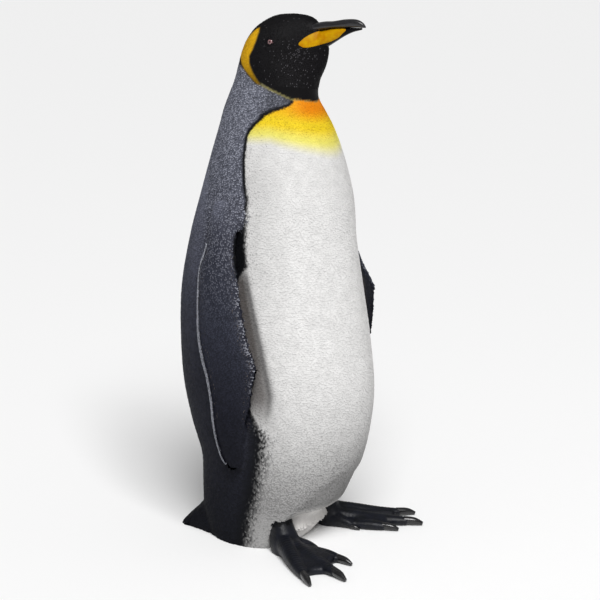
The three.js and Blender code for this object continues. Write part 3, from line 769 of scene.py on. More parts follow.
def back_tones(at):
    """Back and mantle, stippled but for the smooth lower back."""
    stipple = smoothstep(against(SMOOTH_BACK, at.z) - at.turn, -8, 8) * smoothstep(at.z, 300, 520)
    colour = tone_at(BACK_TONES, at.z) * (1 + (0.24 + 0.21 * stipple) * (at.chance - 0.5) * 2)[:, None]
    colour = colour * (1 - (0.32 + 0.28 * stipple) * (1 - at.tip))[:, None]
    colour = mixed(colour, TONE["hair"], stipple * at.speck * smoothstep(at.chance, 0.3, 1.0) * 0.85)
    tongue = (1 - smoothstep(at.turn, 60, 84)) * smoothstep(at.z, 735, 765)
    colour = colour * (1 - 0.42 * tongue)[:, None]
    return colour * (1 + 0.35 * at.tip * (1 - stipple))[:, None]


def inside_front(at):
    """How far in from the edge of the pale front points lie, measured across that edge."""
    slope = (against(CHEST_EDGE, at.z + 3) - against(CHEST_EDGE, at.z - 3)) / 6
    return (against(CHEST_EDGE, at.z) - at.turn) * at.span / np.sqrt(1 + (slope * at.span) ** 2)


def chest_tones(at, front, rise):
    """The chest goes from pale yellow to gold, and to orange straight ahead."""
    for name, start, full in YELLOW_STEPS:
        front = mixed(front, TONE[name], smoothstep(rise, start, full))
    ahead = 1 - smoothstep(at.turn, 14, 48)
    front = mixed(front, TONE["orange"], smoothstep(rise, 0.58, 0.88) * (0.2 + 0.8 * ahead))
    return mixed(front, TONE["speck"], (at.chance < 0.3) * at.speck * smoothstep(rise, 0.2, 0.5) * 0.6)


def belly_painted_shade(at):
    """How much painted shade darkens the belly: low down, at its sides, and low at the very front."""
    grey = 0.26 * (1 - smoothstep(at.z, 120, 380)) + 0.28 * (1 - smoothstep(at.z, 60, 240))
    sides = smoothstep(at.turn, 42, 74) * between(at.z, 150, 280, 640, 720)
    return grey + 0.14 * sides + 0.13 * (1 - smoothstep(at.turn, 10, 50)) * (1 - smoothstep(at.z, 130, 330))


def front_tones(at, inward):
    """The pale front, with painted shade in the hollow of the flank and a painted shadow along its crease,
    the yellow chest, and painted light on the lobe between the legs.
    """
    z, turn = at.z, at.turn
    crease = against(CREASE, z)
    # Painted shade: the flank's hollow behind the crease is darkened, and a dark line along the crease is a
    # painted shadow.
    tall = between(z, *FLANK_TALL)
    flank = smoothstep(turn, crease - 1, crease + 9) * tall
    front = mixed(TONE["white"], TONE["flank"], (0.94 - 0.12 * (1 - smoothstep(z, 300, 400))) * flank)
    front = mixed(front, TONE["crease"], 0.6 * bell(turn, crease + 3, 2.6) * tall)
    low = against(YELLOW_END, turn)
    rise = (z - low) / (YELLOW_TOP - low)
    front = chest_tones(at, front, rise)
    # Dark specks beside the edge, and in the folds low on the belly, most of all at its sides.
    lowest = between(z, 50, 85, 90, 260)
    speckled = 0.8 * np.exp(-np.maximum(inward, 0) / 10) * smoothstep(750 - z, 0, 60)
    speckled = speckled + 0.8 * flank * smoothstep(turn, crease + 5, crease + 12)
    speckled = speckled + 0.4 * lowest * smoothstep(turn, 20, 60) * smoothstep(z, 20, 60)
    front = mixed(front, TONE["pit"], (at.chance < speckled) * at.speck * 0.75)
    root = (0.13 + 0.2 * lowest) * (0.6 + 0.8 * at.chance)
    front = front * (1 - root * (1 - at.tip) * smoothstep(-rise, -0.6, 0.1))[:, None]
    # Painted shade: the belly is darkened low down, at its sides and low at the front.
    front = front * (1 - belly_painted_shade(at))[:, None]
    # Painted light: the recessed lobe between the legs is painted brighter, as if lit.
    lobe = (1 - smoothstep(z, 58, 84)) * (1 - smoothstep(turn, 30, 46))
    return mixed(front, TONE["lobe"], 0.75 * lobe)


def border_black_and_armpit_shade(at, inward, lower):
    """The black along the front's edge, wide low on the body, and black painted shade in the armpit gap
    under the flipper.
    """
    dark = 1 - smoothstep(-inward, 3.5, 9)
    dark = np.maximum(dark, lower * bell(np.minimum(inward, -6), -6, 16) * 0.9)
    # Painted shade: black put in the armpit gap between the flipper and the body.
    armpit = between(at.turn, *ARMPIT_TURN) * (1 - smoothstep(at.reach, *ARMPIT_REACH))
    armpit = armpit * between(at.z, *ARMPIT_TALL)
    return np.maximum(dark, smoothstep(armpit + (at.chance - 0.5) * 0.5, 0.35, 0.65))


def with_hood(at, colour):
    """Adds the black hood, with a thin pale line under it, and pale flecks painted as highlights on its
    feather tips, most at the corner of the bill and on the cheeks.
    """
    steep = (against(HOOD_EDGE, at.turn + 3) - against(HOOD_EDGE, at.turn - 3)) / 6 / at.span
    above = (at.z - against(HOOD_EDGE, at.turn)) / np.sqrt(1 + steep**2)
    line = against(HOOD_LINE, at.turn)
    pale = smoothstep(above, -line - 0.5, -line + 1) * (0.5 + 0.5 * at.chance)
    colour = mixed(colour, TONE["line"], pale * ((above > -line) & (at.turn < 100)))
    hood = TONE["hood"] * (0.75 + 0.5 * at.chance)[:, None] * (0.8 + 0.35 * at.tip)[:, None]
    # Painted highlights: pale flecks on the feather tips, crowded at the corner of the bill and on the
    # cheeks.
    gape = np.exp(-((at.turn - GAPE[0]) ** 2 / 240 + (at.z - GAPE[1]) ** 2 / 220))
    cheek = between(at.turn, *CHEEK_TURN) * (1 - smoothstep(at.z, 835, 858))
    flecked = 0.01 + 0.28 * gape + 0.07 * cheek
    hood = mixed(hood, TONE["painted_glint"], (at.chance > 1 - 1.6 * flecked) * at.speck * 0.55)
    return mixed(colour, hood, smoothstep(above, -0.8, 0.8))


def with_patch(at, colour):
    """Adds the yellow patch behind the cheek, with its dark rim."""
    in_front = (at.turn - against(PATCH_FRONT, at.z)) * at.span * 0.8
    in_back = (against(PATCH_BACK, at.z) - at.turn) * at.span * 0.8
    inside = np.minimum(in_front, in_back)
    tall = between(at.z, *PATCH_TALL)
    patch = TONE["patch"] * (0.3 + 0.7 * smoothstep(at.z, 805, 852))[:, None]
    patch = mixed(TONE["patch_edge"], patch, smoothstep(inside, 0, 4)) * (0.86 + 0.24 * at.chance)[:, None]
    colour = mixed(colour, TONE["black"], smoothstep(inside, -3.5, -1) * tall * 0.8)
    return mixed(colour, patch, smoothstep(inside, -0.8, 0.8) * tall)


def plumage_tones(p, chance, along=None):
    """Linear colours at points on the head and body."""
    at = Spots(p, chance, along)
    inward = inside_front(at)
    lower = 1 - smoothstep(at.z, 215, 260)
    colour = mixed(back_tones(at), TONE["black"], border_black_and_armpit_shade(at, inward, lower))
    soft = 1.2 + 13 * lower + 3.5 * between(at.z, *BESIDE_TALL)
    spread = inward - 8 * lower + (chance - 0.5) * soft
    colour = mixed(colour, front_tones(at, inward), smoothstep(spread, -soft, soft))
    return with_patch(at, with_hood(at, colour))


def flipper_tones(drop, turn, z, chance, along=None):
    """Linear colours on a flipper by its own drop and turn round the section."""
    tip, speck = feather_ends(along, len(z))
    colour = tone_at(FLIPPER_TONES, z) * (0.7 + 0.5 * chance)[:, None] * (0.7 + 0.5 * tip)[:, None]
    fade = 1 - smoothstep(drop, 60, 250)
    colour = mixed(colour, TONE["hair"], fade * (chance > 0.5) * speck * 0.4)
    # Painted shade: black on the top of the leading edge, in the armpit gap.
    armpit = between(turn, 150, 160, 205, 220) * between(drop, 62, 80, 120, 150)
    colour = mixed(colour, TONE["black"], armpit)
    leading = bell(turn, 163, 13) * between(drop, 130, 170, 320, 350)
    colour = mixed(colour, TONE["ridge"], leading * (chance > 0.5) * tip * 0.8)
    trailing = bell(turn, 22, 8) * smoothstep(drop, 92, 125)
    colour = mixed(colour, TONE["ridge"], trailing * (0.15 + 0.3 * chance))
    # The inner face, towards the body, takes the flank's painted-shade tone.
    inner = between(turn, 232, 250, 315, 335) * between(drop, 60, 110, 380, 430)
    return mixed(colour, TONE["flank"], inner * 0.85)


# ------------------------------------------------------------------ feathers
DOWN = np.array((0, 0, -1.0))
# One feather: across and along its vane, and its rise. The rim is shared by top and underside.
VANE = np.array(
    [
        (-0.35, 0.0, -0.4),
        (0.35, 0.0, -0.4),
        (-0.5, 0.5, 0.0),
        (0.0, 0.5, 0.6),
        (0.5, 0.5, 0.0),
        (-0.33, 0.9, 0.35),
        (0.0, 1.0, 0.75),
        (0.33, 0.9, 0.35),
    ]
)
VANE_TOP = np.array([(0, 1, 3), (0, 3, 2), (1, 4, 3), (2, 3, 6), (2, 6, 5), (3, 4, 7), (3, 7, 6)])
VANE_UNDER = np.array([(0, 2, 5), (0, 5, 6), (0, 6, 1), (1, 6, 7), (1, 7, 4)])
VANE_FACES = np.concatenate([VANE_TOP, VANE_UNDER])
# How far the normal at each of its points rolls over, across and along the vane.
VANE_ROLL = [(0, -0.2), (0, -0.2), (-0.5, 0), (0, 0), (0.5, 0), (-0.4, 0.6), (0, 0.8), (0.4, 0.6)]


class Surface:
    """The skin, for finding its nearest point and its smooth normal there."""

    def __init__(self, mesh):
        self.tree = BVHTree.FromPolygons(
            [v.co / MM for v in mesh.vertices], [p.vertices for p in mesh.polygons]
        )
        self.normals = normals_of(mesh)
        self.faces = [tuple(p.vertices) for p in mesh.polygons]

    def nearest(self, points):
        """The nearest point of the skin to each point, the normal there, and how far away it is."""
        spots, normals = np.zeros((2, len(points), 3))
        gaps = np.zeros(len(points))
        for i, p in enumerate(points):
            spot, _, face, gap = self.tree.find_nearest(p)
            spots[i], gaps[i] = spot, gap
            normals[i] = self.normals[list(self.faces[face])].mean(0)
        return spots, unit(normals), gaps


def rolled_normals(points, across, flow):
    """Smooth normals of the feathers' upper sides, rolled over at their edges and tips."""
    corners = points.reshape(len(flow), len(VANE), 3)
    found = np.zeros_like(corners)
    for a, b, c in VANE_TOP:
        normal = np.cross(corners[:, b] - corners[:, a], corners[:, c] - corners[:, a])
        for corner in (a, b, c):
            found[:, corner] += normal
    found = unit(found)
    for corner, (aside, on) in enumerate(VANE_ROLL):
        found[:, corner] += aside * across + on * flow
    return unit(found.reshape(-1, 3))


def add_coat(name, roots, normals, flow, size, tones, places, slot):
    """Solid feathers at roots, lying along flow. size gives width, length and rise for each."""
    count = len(roots)
    flow = unit(flow - (flow * normals).sum(1, keepdims=True) * normals)
    across = np.cross(normals, flow)
    local = VANE[None] * size[:, None]
    points = (
        roots[:, None]
        + across[:, None] * local[..., :1]
        + flow[:, None] * local[..., 1:2]
        + normals[:, None] * local[..., 2:]
    ).reshape(-1, 3)
    points[:, 2] = np.maximum(points[:, 2], 0.15)
    faces = (VANE_FACES[None] + np.arange(count)[:, None, None] * len(VANE)).reshape(-1, 3)
    mesh = mesh_from(name, points, faces)
    mesh.normals_split_custom_set_from_vertices(rolled_normals(points, across, flow))
    give_tones(mesh, tones(points, np.repeat(np.arange(count), len(VANE)), np.tile(VANE[:, 1], count)))
    places = (places - places.min(0)) / np.ptp(places, axis=0) * (1 - 2 * BAKE_PATCH) + BAKE_PATCH
    vane = VANE[:, :2] - (0, 0.5)
    patch = (places[:, None] + vane[None] * BAKE_PATCH).reshape(-1, 2)
    own = np.tile(VANE[:, :2] + (0.5, 0), (count, 1))
    for layer, values in (("OFBake", patch), ("vane", own)):
        data = mesh.uv_layers.new(name=layer).data
        data.foreach_set("uv", values[faces.ravel()].astype(np.float32).ravel())
    add_piece(name, mesh, MATERIALS["plumage"], slot)


def scattered(flow, spread, count):
    """Directions for feathers about a flow, one for all or one for each."""
    return flow + rng.normal(0, spread, (count, 3))


def drawn(count, *ranges):
    """Random sizes for feathers, from a low and a high value for each measure."""
    return np.stack([rng.uniform(low, high, count) for low, high in ranges], -1)


def body_pitch(z):
    """How far apart the body's feathers are: finer on the mantle and neck."""
    return 3.8 - 0.9 * smoothstep(z, 560, 660)


def body_roots():
    """Rows of roots round the body, each row set half a feather along from the last."""
    found = []
    turns = np.arange(-180, 180, 0.25)
    z, row = 2.0, 0
    while z < HOOD_HIGH:
        pitch = body_pitch(z)
        ring = body_points(turns, np.full(len(turns), z))
        steps = steps_along(ring)
        steps = steps - np.interp(0, turns, steps)
        along = np.arange(-250, 250) * pitch + (row % 2) * pitch / 2
        along = along + rng.normal(0, 0.2 * pitch, len(along))
        along = along[(along > steps[0]) & (along < steps[-1])]
        turn = np.interp(along, steps, turns)
        found.append(np.stack([turn, np.full(len(turn), z) + rng.normal(0, 0.2 * pitch, len(turn))], -1))
        z += 0.9 * pitch
        row += 1
    return np.concatenate(found)


def head_roots(surface):
    """Evenly scattered roots over the head, by turn and rise round its middle."""
    count = 60000
    i = np.arange(count) + 0.5
    rise = np.arcsin(np.clip(1 - 1.75 * i / count, -1, 1))
    turn = (i * 180 * (3 - math.sqrt(5))) % 360 - 180
    centre = Vector((0, -8, 862))
    found = []
    for t, r in zip(np.radians(turn), rise):
        ray = Vector((math.sin(t) * math.cos(r), -math.cos(t) * math.cos(r), math.sin(r)))
        hit = surface.tree.ray_cast(centre, ray)
        if hit[0]:
            found.append((*hit[0], math.degrees(t), math.degrees(r)))
    found = np.array(found)
    found = found[found[:, 2] > against(HOOD_EDGE, azimuth_of(found)) - 1.0]
    return found[thinned(found[:, :3], 2.1)]


def thinned(points, gap):
    """Indices of points that stay at least a gap apart."""
    tree = KDTree(len(points))
    for i, p in enumerate(points):
        tree.insert(p, i)
    tree.balance()
    free = np.ones(len(points), bool)
    kept = []
    for i in rng.permutation(len(points)):
        if free[i]:
            kept.append(i)
            for _, j, _ in tree.find_range(points[i], gap):
                free[j] = False
    return np.array(kept)


def bill_section(rows, ahead):
    """The middle, half height and half width of one half of the bill."""
    high, low, half = (np.interp(ahead, rows[:, 0], rows[:, k]) for k in (1, 2, 3))
    return (high + low) / 2, (high - low) / 2, half


def clear_of_bill(p):
    """Outside the bill and its plates."""
    ahead = -p[:, 1]
    inside = np.zeros(len(p), bool)
    for table in (BILL_UPPER, BILL_LOWER):
        middle, tall, half = bill_section(np.array(table), ahead)
        across = np.abs(p[:, 0]) / (half + 0.6)
        up = np.abs(p[:, 2] - middle) / (tall + 0.6)
        inside |= (across**BILL_SQUARE + up**BILL_SQUARE < 1) & (ahead > 45)
    rows = np.array(PLATE)
    z, half = np.interp(ahead, rows[:, 0], rows[:, 1]), np.interp(ahead, rows[:, 0], rows[:, 2])
    inside |= (np.abs(p[:, 2] - z) < half) & (ahead > 45)
    return ~inside


def head_flow(p):
    """Feathers run back from the bill, then down the nape and throat."""
    away = unit(p - np.array((0, -92, 893)))
    down = np.array((0, 0.12, -1.0))
    share = 1 - smoothstep(p[:, 2], 800, 868)
    share = np.maximum(share, smoothstep(p[:, 1], 20, 62))
    return away * (1 - share)[:, None] + down * share[:, None]


def coat_the_body(surface):
    """The feathers of the body and neck, up to the edge of the hood, in five pieces."""
    places = body_roots()
    spots, normals, gaps = surface.nearest(body_points(places[:, 0], places[:, 1]))
    keep = (gaps < 6) & (spots[:, 2] < against(HOOD_EDGE, azimuth_of(spots)))
    places, spots, normals = places[keep], spots[keep], normals[keep]
    count = len(spots)
    pitch = body_pitch(spots[:, 2])
    low = 1 - smoothstep(spots[:, 2], 90, 260)
    width = 1.27 * pitch * rng.uniform(0.9, 1.12, count)
    length = (1.62 + 0.35 * low) * pitch * rng.uniform(0.88, 1.12, count)
    rise = (0.32 + 0.1 * low) * pitch * rng.uniform(0.7, 1.3, count)
    flow = scattered(DOWN, 0.09, count)
    size = np.stack([width, length, rise], -1)
    chance = rng.random(count)
    azimuth, height = places[:, 0], spots[:, 2]
    front = np.abs(azimuth) < 90
    neck, low_down = height > HOOD_LOW, height <= WAIST
    regions = {
        "coat_neck": (neck, "plumage_slate"),
        "coat_breast": (front & ~neck & ~low_down, "plumage_white"),
        "coat_belly": (front & low_down, "plumage_white"),
        "coat_back": (~front & ~neck & ~low_down, "plumage_slate"),
        "coat_rump": (~front & low_down, "plumage_slate"),
    }
    for name, (here, slot) in regions.items():
        picked = chance[here]
        around = azimuth[here] % 360 if name in ("coat_back", "coat_rump") else azimuth[here]
        add_coat(
            name,
            spots[here],
            normals[here],
            flow[here],
            size[here],
            lambda p, i, along, picked=picked: plumage_tones(p, picked[i], along),
            np.stack([around, places[here][:, 1]], -1),
            slot,
        )


def coat_the_head(surface):
    """The short feathers of the hood, clear of the bill and the eyes."""
    found = head_roots(surface)
    spots, normals, _ = surface.nearest(found[:, :3])
    off_eyes = (opening(spots, "right") > 1.5) | (spots[:, 0] > 0)
    off_eyes &= (opening(spots, "left") > 1.5) | (spots[:, 0] < 0)
    keep = off_eyes & clear_of_bill(spots)
    found, spots, normals = found[keep], spots[keep], normals[keep]
    count = len(spots)
    size = drawn(count, (2.5, 3.1), (4.0, 5.2), (0.6, 0.95))
    chance = rng.random(count)
    add_coat(
        "coat_head",
        spots,
        normals,
        scattered(head_flow(spots), 0.06, count),
        size,
        lambda p, i, along: plumage_tones(p, chance[i], along),
        found[:, 3:5],
        "plumage_black",
    )


def coat_a_flipper(surface, side):
    """Rows of feathers round a flipper, each row set half a feather along from the last."""
    between_rows, along_row = FLIPPER_PITCH
    rows = np.arange(8, FLIPPER_LENGTH - 1, between_rows)
    turns = np.arange(0, 360, 1.0)
    places = []
    for k, drop in enumerate(rows):
        ring = flipper_points(side, np.full(len(turns), drop), turns)
        steps = steps_along(np.concatenate([ring, ring[:1]]))
        number = max(int(steps[-1] / along_row), 6)
        along = (np.arange(number) + 0.5 * (k % 2) + rng.normal(0, 0.16, number)) / number * steps[-1]
        turn = np.interp(along % steps[-1], steps, np.append(turns, 360))
        places.append(np.stack([turn, drop + rng.normal(0, 0.45, number)], -1))
    places = np.concatenate(places)
    spots, normals, gaps = surface.nearest(flipper_points(side, places[:, 1], places[:, 0]))
    keep = gaps < 4.0
    places, spots, normals = places[keep], spots[keep], normals[keep]
    count = len(spots)
    hold = flipper_hold(side)
    flow = scattered(hold[:3, :3] @ np.array((0, 0.05, -1.0)), 0.07, count)
    width = 3.7 * rng.uniform(0.85, 1.1, count)
    length = 6.4 * rng.uniform(0.88, 1.12, count)
    rise = 0.9 * rng.uniform(0.7, 1.25, count)
    chance = rng.random(count)
    turn, drop = places[:, 0], places[:, 1]
    blend = 1 - smoothstep(drop, 25, 60)

    def tones(p, i, along):
        own = flipper_tones(drop[i], turn[i], p[:, 2], chance[i], along)
        return mixed(own, plumage_tones(p, chance[i], along), blend[i])

    add_coat(
        f"coat_flipper_{side}",
        spots,
        normals,
        flow,
        np.stack([width, length, rise], -1),
        tones,
        np.stack([turn, drop], -1),
        "plumage_slate",
    )


def coat_a_ridge(side):
    """The pale raised edge of a flipper: short feathers that lie out over its trailing edge."""
    places = []
    for turn, start in RIDGE_ROWS:
        drop = np.arange(start, FLIPPER_LENGTH - 7, RIDGE_PITCH)
        jitter = rng.normal(0, 0.3, (len(drop), 2))
        places.append(np.stack([turn + 3 * jitter[:, 0], drop + jitter[:, 1]], -1))
    places = np.concatenate(places)
    roots = flipper_points(side, places[:, 1], places[:, 0])
    across = unit(flipper_points(side, places[:, 1], places[:, 0] + 8) - roots)
    normals = flipper_points(side, places[:, 1], 90) - flipper_points(side, places[:, 1], 270)
    normals = unit(unit(normals) - 0.35 * across)
    count = len(roots)
    down = flipper_hold(side)[:3, :3] @ DOWN
    chance = rng.random(count)

    def tones(_, i, along):
        return TONE["ridge"] * ((0.3 + 0.9 * smoothstep(along, 0.1, 0.6)) * (0.4 + 0.8 * chance[i]))[:, None]

    add_coat(
        f"coat_ridge_{side}",
        roots + RIDGE_LIFT * normals,
        normals,
        scattered(across + 0.5 * down, 0.1, count),
        drawn(count, (1.9, 2.5), (3.6, 5.0), (1.2, 1.8)),
        tones,
        places,
        "plumage_slate",
    )


def coat_an_ankle(side):
    """Short black feathers over the top of the foot, where it goes up into the plumage."""
    read_tarsus = smooth_table(TARSUS, 2)
    columns = CUFF["columns"]
    places, roots, normals = [], [], []
    for k, z in enumerate(np.arange(40, 66, 2.4)):
        _, ahead, long, wide = read_tarsus(z / TARSUS[-1][0])
        turn = (np.arange(columns) + 0.5 * (k % 2) + rng.normal(0, 0.2, columns)) * 360 / columns
        c, s = np.cos(np.radians(turn)), np.sin(np.radians(turn))
        height = z + CUFF["lean"] * (1 - s) + rng.normal(0, 0.8, columns)
        ring = np.stack([TARSUS_OUT + (wide + 0.4) * c, ahead + (long + 0.4) * s, height], -1)
        roots.append(placed(ring, side))
        normals.append(np.stack([c, s, 0.25 + 0 * c], -1) @ foot_place(side)[0])
        places.append(np.stack([turn, height], -1))
    places, roots, normals = np.concatenate(places), np.concatenate(roots), unit(np.concatenate(normals))
    keep = roots[:, 2] > CUFF["low"]
    places, roots, normals = places[keep], roots[keep], normals[keep]
    count = len(roots)
    chance = rng.random(count)

    def tones(_, i, along):
        return TONE["black"] * ((0.6 + 0.8 * smoothstep(along, 0.4, 0.9)) * (0.6 + 1.2 * chance[i]))[:, None]

    add_coat(
        f"coat_ankle_{side}",
        roots,
        normals,
        scattered(DOWN, 0.12, count),
        drawn(count, (4.2, 5.4), (6.0, 8.0), (1.2, 2.0)),
        tones,
        places,
        "plumage_slate",
    )


def coat_the_tail(surface):
    """Long stiff feathers over the tail, in rows that run across it."""
    rows = []
    at = smooth_table(TAIL, 2)
    for k, share in enumerate(np.linspace(0.05, 1, 36)):
        y, half, high = at(share)
        number = int(math.pi * math.hypot(half, high) / 4.6)
        turn = np.linspace(0.01, math.pi - 0.01, number) + (k % 2) * 0.5 * math.pi / number
        c, s = np.cos(turn), np.sin(turn)
        radius = squared(c, s, TAIL_SQUARE)
        rows.append(np.stack([half * radius * c, y + 0 * c, np.maximum(high * radius * s, 1), turn], -1))
    places = np.concatenate(rows)
    spots, normals, gaps = surface.nearest(places[:, :3])
    keep = gaps < 4.5
    places, spots, normals = places[keep], spots[keep], normals[keep]
    count = len(spots)
    stiff = smoothstep(places[:, 1], 110, 165)
    size = np.stack(
        [
            (4.9 + 1.2 * stiff) * rng.uniform(0.9, 1.1, count),
            (7.5 + 9 * stiff) * rng.uniform(0.85, 1.1, count),
            rng.uniform(0.8, 1.2, count),
        ],
        -1,
    )
    chance = rng.random(count)
    add_coat(
        "coat_tail",
        spots,
        normals,
        scattered((0, 0.75, -0.85), 0.05, count),
        size,
        lambda p, i, along: plumage_tones(p, chance[i], along) * 0.8,
        np.stack([places[:, 3], places[:, 1]], -1),
        "plumage_slate",
    )


# ------------------------------------------------------------------ bill and plates
def mandible(table):
    """Rings along one half of the bill, and the table's values at each."""
    at = evenly(table, 110)
    ahead, high, low, half = at.T
    middle = vectors(0, -ahead, (high + low) / 2)
    return oval(middle, vectors(half, 0, 0), vectors(0, 0, (high - low) / 2), 72, BILL_SQUARE), at


def shape_upper_bill(rings, at):
    """Cuts a groove that runs forward from each nostril, and sinks the bill's base into the plumage."""
    high, low = at[:, 1, None], at[:, 2, None]
    height = (rings[..., 2] - (high + low) / 2) / ((high - low) / 2)
    groove = bell(height, NOSTRIL_GROOVE["height"], NOSTRIL_GROOVE["half"])
    groove = groove * between(at[:, 0, None], *NOSTRIL_GROOVE["run"])
    rings[..., 0] -= np.sign(rings[..., 0]) * NOSTRIL_GROOVE["depth"] * groove
    sunk = 1 - smoothstep(at[:, 0, None], BILL_BASE["from"], BILL_BASE["clear"])
    rings[..., 2] -= BILL_BASE["sink"] * sunk * np.clip(height, 0, 1)
    rings[..., 0] *= 1 - BILL_BASE["narrow"] * sunk


def add_bill():
    for part, table, material in (("upper", BILL_UPPER, "bill"), ("lower", BILL_LOWER, "jaw")):
        rings, at = mandible(table)
        if part == "upper":
            shape_upper_bill(rings, at)
        name = f"bill_{part}_shape"
        add_piece(name, mesh_from(name, *loft(rings)), MATERIALS[material], "bill_black", f"bill_{part}")


def lower_bill_reach(ahead, z):
    """How far out the lower bill's side is."""
    middle, tall, half = bill_section(evenly(BILL_LOWER, 300), ahead)
    up = np.abs(z - middle) / tall
    return half * np.maximum(1 - up**BILL_SQUARE, 0) ** (1 / BILL_SQUARE)


def add_plate(side, surface):
    """The coloured plate: a thin swelling that follows the side of the lower bill and the cheek."""
    rows, columns = 60, 22
    share, tilt = np.meshgrid(np.linspace(0, 1, rows), np.linspace(-1, 1, columns), indexing="ij")
    at = smooth_table(PLATE, 2)(share)
    ahead, z = at[..., 0], at[..., 1] + tilt * np.maximum(at[..., 2], 0.4)
    z = z - PLATE_DROP * between(share, 0.3, 0.75, 0.8, 1.0) * np.maximum(-tilt, 0)
    reach = lower_bill_reach(ahead, z)
    for index in np.ndindex(rows, columns):
        start = Vector((SIDES[side] * 80, -ahead[index], z[index]))
        hit = surface.tree.ray_cast(start, Vector((-SIDES[side], 0, 0)))
        if hit[0] and hit[0].x * SIDES[side] > 0:
            reach[index] = max(reach[index], abs(hit[0].x) + 0.4)
    for _ in range(3):
        padded = np.pad(reach, 1, mode="edge")
        beside = padded[:-2, 1:-1] + padded[2:, 1:-1] + padded[1:-1, :-2] + padded[1:-1, 2:]
        reach = (beside + 4 * reach) / 8
    swell = np.sqrt(np.maximum(1 - np.abs(tilt) ** 3, 0))
    swell = swell * np.sqrt(np.sin(np.pi * np.clip(share, 0.02, 0.98)))
    outer = np.stack([SIDES[side] * (reach + 0.25 + PLATE_RISE * swell), -ahead, z], -1)
    inner = np.stack([SIDES[side] * (reach - 1.5), -ahead, z], -1)
    ring = np.concatenate([outer, inner[:, ::-1]], 1)
    mesh = mesh_from(f"plate_{side}", *loft(ring))
    face_out(mesh)
    add_piece(f"plate_{side}", mesh, MATERIALS["plate"], "plate_orange", f"bill_plate_{side}")


# ------------------------------------------------------------------ eyes
def add_eye(side):
    """The eyeball, with its iris and pupil facing straight out."""
    rows, columns = 40, 48
    tilt = np.linspace(0, np.pi, rows)[1:-1, None]
    turn = np.arange(columns)[None] / columns * 2 * np.pi
    out = np.cos(tilt) + 0 * turn
    ring = np.stack([SIDES[side] * out, np.sin(tilt) * np.cos(turn), np.sin(tilt) * np.sin(turn)], -1)
    points, faces = loft(EYE_AT[side] + ring * EYE_RADIUS)
    mesh = mesh_from(f"eyeball_{side}", points, faces)
    facing = (points[:, 0] - EYE_AT[side][0]) * SIDES[side] / EYE_RADIUS
    away = np.degrees(np.arccos(np.clip(facing, -1, 1)))
    colour = mixed(TONE["eye"], TONE["iris"], 1 - smoothstep(away, 22, 27))
    colour = mixed(colour, TONE["pupil"], 1 - smoothstep(away, 11, 14))
    give_tones(mesh, colour)
    add_piece(f"eyeball_{side}", mesh, MATERIALS["eye"], "eye_brown", f"eye_{side}")


# ------------------------------------------------------------------ feet and claws
def held_toe(stations, toe, side):
    """The stations of a toe or claw, with the outer and inner toes closed towards the middle one."""
    closed = CLOSED[side]
    turn = math.radians({"outer": closed["outer"], "middle": 0}.get(toe, -closed["inner"]))
    c, s = math.cos(turn), math.sin(turn)
    return [(a * c + o * s, o * c - a * s, *rest) for a, o, *rest in stations]


def limb(stations, columns, rows):
    """A tapering toe or claw along stations in the foot's own frame: x out, y ahead."""
    at = evenly(stations, rows)
    points = at[:, [1, 0, 2]]
    ahead = unit(np.gradient(points, axis=0))
    across = unit(np.cross(ahead, (0, 0, 1.0)))
    up = np.cross(across, ahead)
    return loft(oval(points, across * at[:, 3:4], up * at[:, 4:5], columns, TOE_SQUARE))


def foot_place(side):
    """A foot's directions out, ahead and up as rows, and the place of its ankle on the floor."""
    turn = math.radians(ANKLE["splay"])
    s = SIDES[side]
    ahead = (s * math.sin(turn), -math.cos(turn), 0)
    out = (s * math.cos(turn), math.sin(turn), 0)
    return np.array([out, ahead, (0, 0, 1)]), np.array((s * ANKLE["x"], -ANKLE["ahead"], 0))


def placed(points, side):
    basis, origin = foot_place(side)
    return points @ basis + origin


def tarsus():
    z, ahead, long, wide = evenly(TARSUS, 40).T
    middle = vectors(TARSUS_OUT, ahead, z)
    return loft(oval(middle, vectors(wide, 0, 0), vectors(0, long, 0), 48, TOE_SQUARE))


def bent(a, b, c):
    """Points of a smooth bend from a to c that leans towards b."""
    t = np.linspace(0, 1, 14)[:, None]
    return (1 - t) ** 2 * a + 2 * t * (1 - t) * b + t**2 * c


def web(side):
    """The sheet between the toes, scooped back between their ends, as a stack of shrinking outlines."""
    tips = {toe: np.array(held_toe(TOES[toe], toe, side)[-1][1::-1]) for toe in ("outer", "middle", "inner")}
    notch = {toe: WEB["notch"] * (tips[toe] + tips["middle"]) / 2 for toe in ("outer", "inner")}
    ends = {toe: tips[toe] * WEB["short"] for toe in tips}
    edge = np.concatenate(
        [
            bent(ends["outer"], notch["outer"], ends["middle"]),
            bent(ends["middle"], notch["inner"], ends["inner"])[1:],
            [(-WEB["heel_half"], -WEB["heel"]), (WEB["heel_half"], -WEB["heel"])],
        ]
    )
    centre = edge.mean(0)
    rings = []
    for inset, share in WEB_DOME:
        ring = centre + (edge - centre) * inset
        top = WEB["high"] - WEB["fall"] * ring[:, 1]
        rings.append(np.concatenate([ring, (share * top)[:, None]], 1))
    return loft(np.stack(rings))


def foot_form(side):
    parts = [tarsus(), web(side)]
    for toe, stations in TOES.items():
        parts.append(limb(held_toe(stations, toe, side), 28, 50))
    points, faces = joined(parts)
    points[:, 2] = np.maximum(points[:, 2], 0)
    return points, faces


